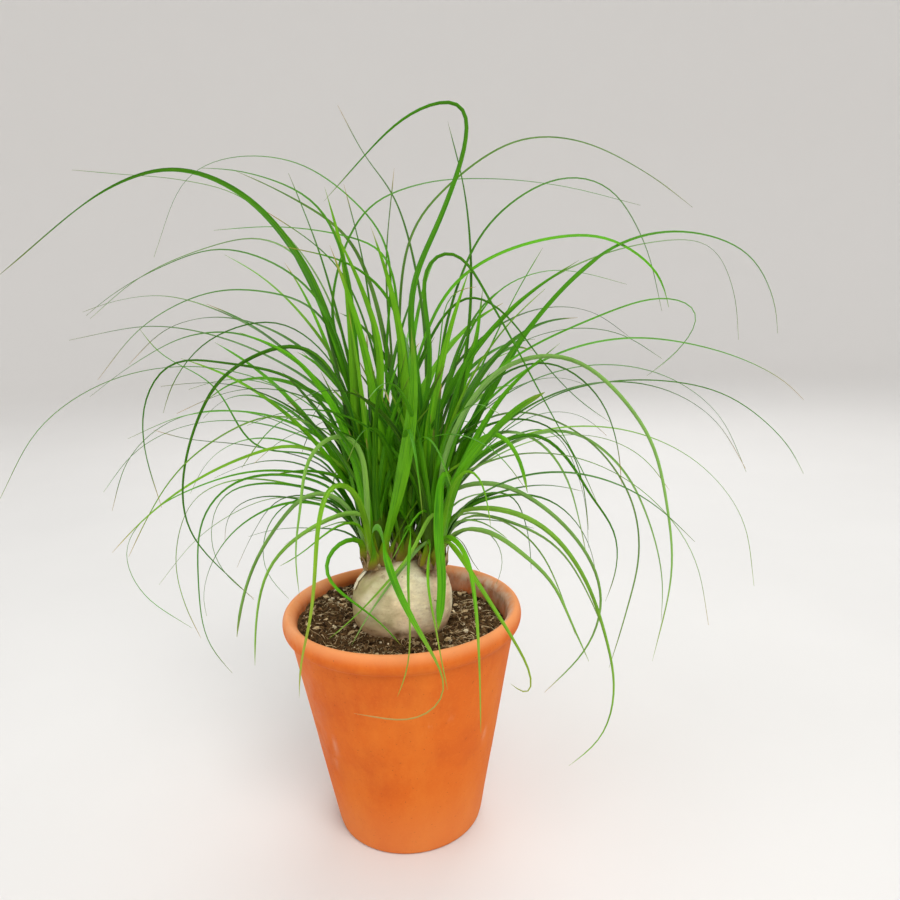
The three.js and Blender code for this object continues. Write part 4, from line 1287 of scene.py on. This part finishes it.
        # This leaf's green, with painted shade for the inner leaves and some leaves behind
        own = self.tint(rng)
        tip_share = TIP_SHARES[rng.random() < DRY_SHARE]
        tip_from = mix(TIP_FROM, rng.random())
        if self.depth < FRONT_DEPTH:
            tip_share, tip_from = FRONT_TIP
        if self.depth < WITHERED_DEPTH:
            tip_share, tip_from = WITHERED_TIP
        phase = rng.random() * 2 * math.pi
        lean = (rng.random() - 0.5) * 0.5
        coloured = mix(FOOT_COLOUR_LENGTH, phase / (2 * math.pi))
        points, tones, uvs = [], [], []
        for i, place in enumerate(spine):
            far = i / (count - 1)
            from_foot = far * length
            across, face = frames[i]
            roll = (0.22 * math.sin(phase + far * 4) + lean) * smooth_step(10, 60, from_foot)
            side = math.cos(roll) * across + math.sin(roll) * face
            over = math.cos(roll) * face - math.sin(roll) * across
            half = self.half_width(far, from_foot)
            deep = half * (CHANNEL * (1 - 0.4 * far) + 0.75 * math.exp(-((from_foot / SHEATH_LENGTH) ** 2)))
            thick = THICKNESS * (1 - 0.5 * far)
            tip = tip_share * smooth_step(tip_from, 1, far)
            green = own * (0.4 + 0.6 * smooth_step(*SHADED_FOOT, from_foot)) if self.inner else own
            for share, lift, below in RING:
                points.append(place + side * half * share + over * (deep * lift - below * thick))
                tones.append((min(1, from_foot / coloured), green, tip))
                uvs.append((0.5 + 0.5 * share, from_foot / 60))
        return points, ring_faces(count, len(RING)) + end_faces(count, len(RING)), tones, uvs


def head_core(x, y):
    """The slim hidden heart of a head, where its leaves crowd together."""
    rows = [(0.2, NECK_TOP + 0.3), (5.2, NECK_TOP + 0.3), (6.2, 188), (6.4, 200), (4, 214), (0.2, 226)]
    points, faces = turned(rows, 20)
    return [p + Vector((x, y, 0)) for p in points], faces


def seen_leaf(head, depth, width, facing, taper, *seen):
    return Leaf(head, read_path(head, depth, seen), width, facing, taper, depth)


def make_blades(name, leaves, rng, material, core=((), ())):
    """One piece of many leaves, and of the core of their head."""
    gathered = Gathered()
    for leaf in leaves:
        gathered.add(*leaf.mesh(rng))
    points, faces = core
    gathered.add(points, faces, [(0.6, 0, 0)] * len(points), [(0.5, 0)] * len(points))
    blades = mesh_piece(name, gathered.points, gathered.faces, material, "leaf", "leaf_crown")
    unwrap(blades, gathered.uvs)
    paint(blades, gathered.tones)
    blades.data.set_sharp_from_angle(angle=SHARP_ANGLE)


def make_leaves():
    """The leaves of each head as one piece, read off the plant and by the two rules, and the fine ones."""
    rng = np.random.default_rng(SEED + 11)
    material = leaf_material()
    for i, (head, (x, y)) in enumerate(HEADS.items()):
        leaves = rule_leaves(head, SEED + i) + inner_leaves(head, SEED + 40 + i)
        leaves += [seen_leaf(head, *row) for row in READ_LEAVES[head]]
        make_blades("leaves_" + head, leaves, rng, material, head_core(x, y))
    fine = [seen_leaf(*row) for row in FINE_LEAVES]
    make_blades("leaves_fine", fine, np.random.default_rng(SEED + 12), material)


def make_husks():
    """Dry papery shreds of old leaf feet round each neck."""
    rng = np.random.default_rng(SEED + 21)
    gathered = Gathered()
    rows, columns = 7, 4
    for x, y in HEADS.values():
        for i in range(HUSK_COUNT):
            angle = i * GOLDEN_ANGLE + rng.random()
            wide = mix(HUSK_SPREAD, rng.random())
            tall = mix(HUSK_HEIGHT, rng.random() ** 1.5)
            foot = HUSK_FOOT + 4 * rng.random()
            flare = mix(HUSK_FLARE, rng.random() ** 2)
            lean = (rng.random() - 0.5) * 0.5
            points = []
            for r in range(rows):
                share = r / (rows - 1)
                spread = wide * (1 - share) ** 0.6 * (0.85 + 0.3 * rng.random()) + 0.02
                out = HUSK_RADIUS + 0.4 * (i % 3) + flare * share ** 2
                for c in range(columns):
                    turn = angle + lean * share + spread * (2 * c / (columns - 1) - 1)
                    points.append((x + out * math.cos(turn), y + out * math.sin(turn), foot + tall * share))
            gathered.add(points, grid_faces(rows, columns))
    sheet_piece("leaf_husks", gathered, grainy_material("husk", *HUSK, 0.75), 0.25)


make_camera()
make_lights()
make_floor()
make_pot()
make_soil()
make_caudex()
make_flakes()
make_leaves()
make_husks()
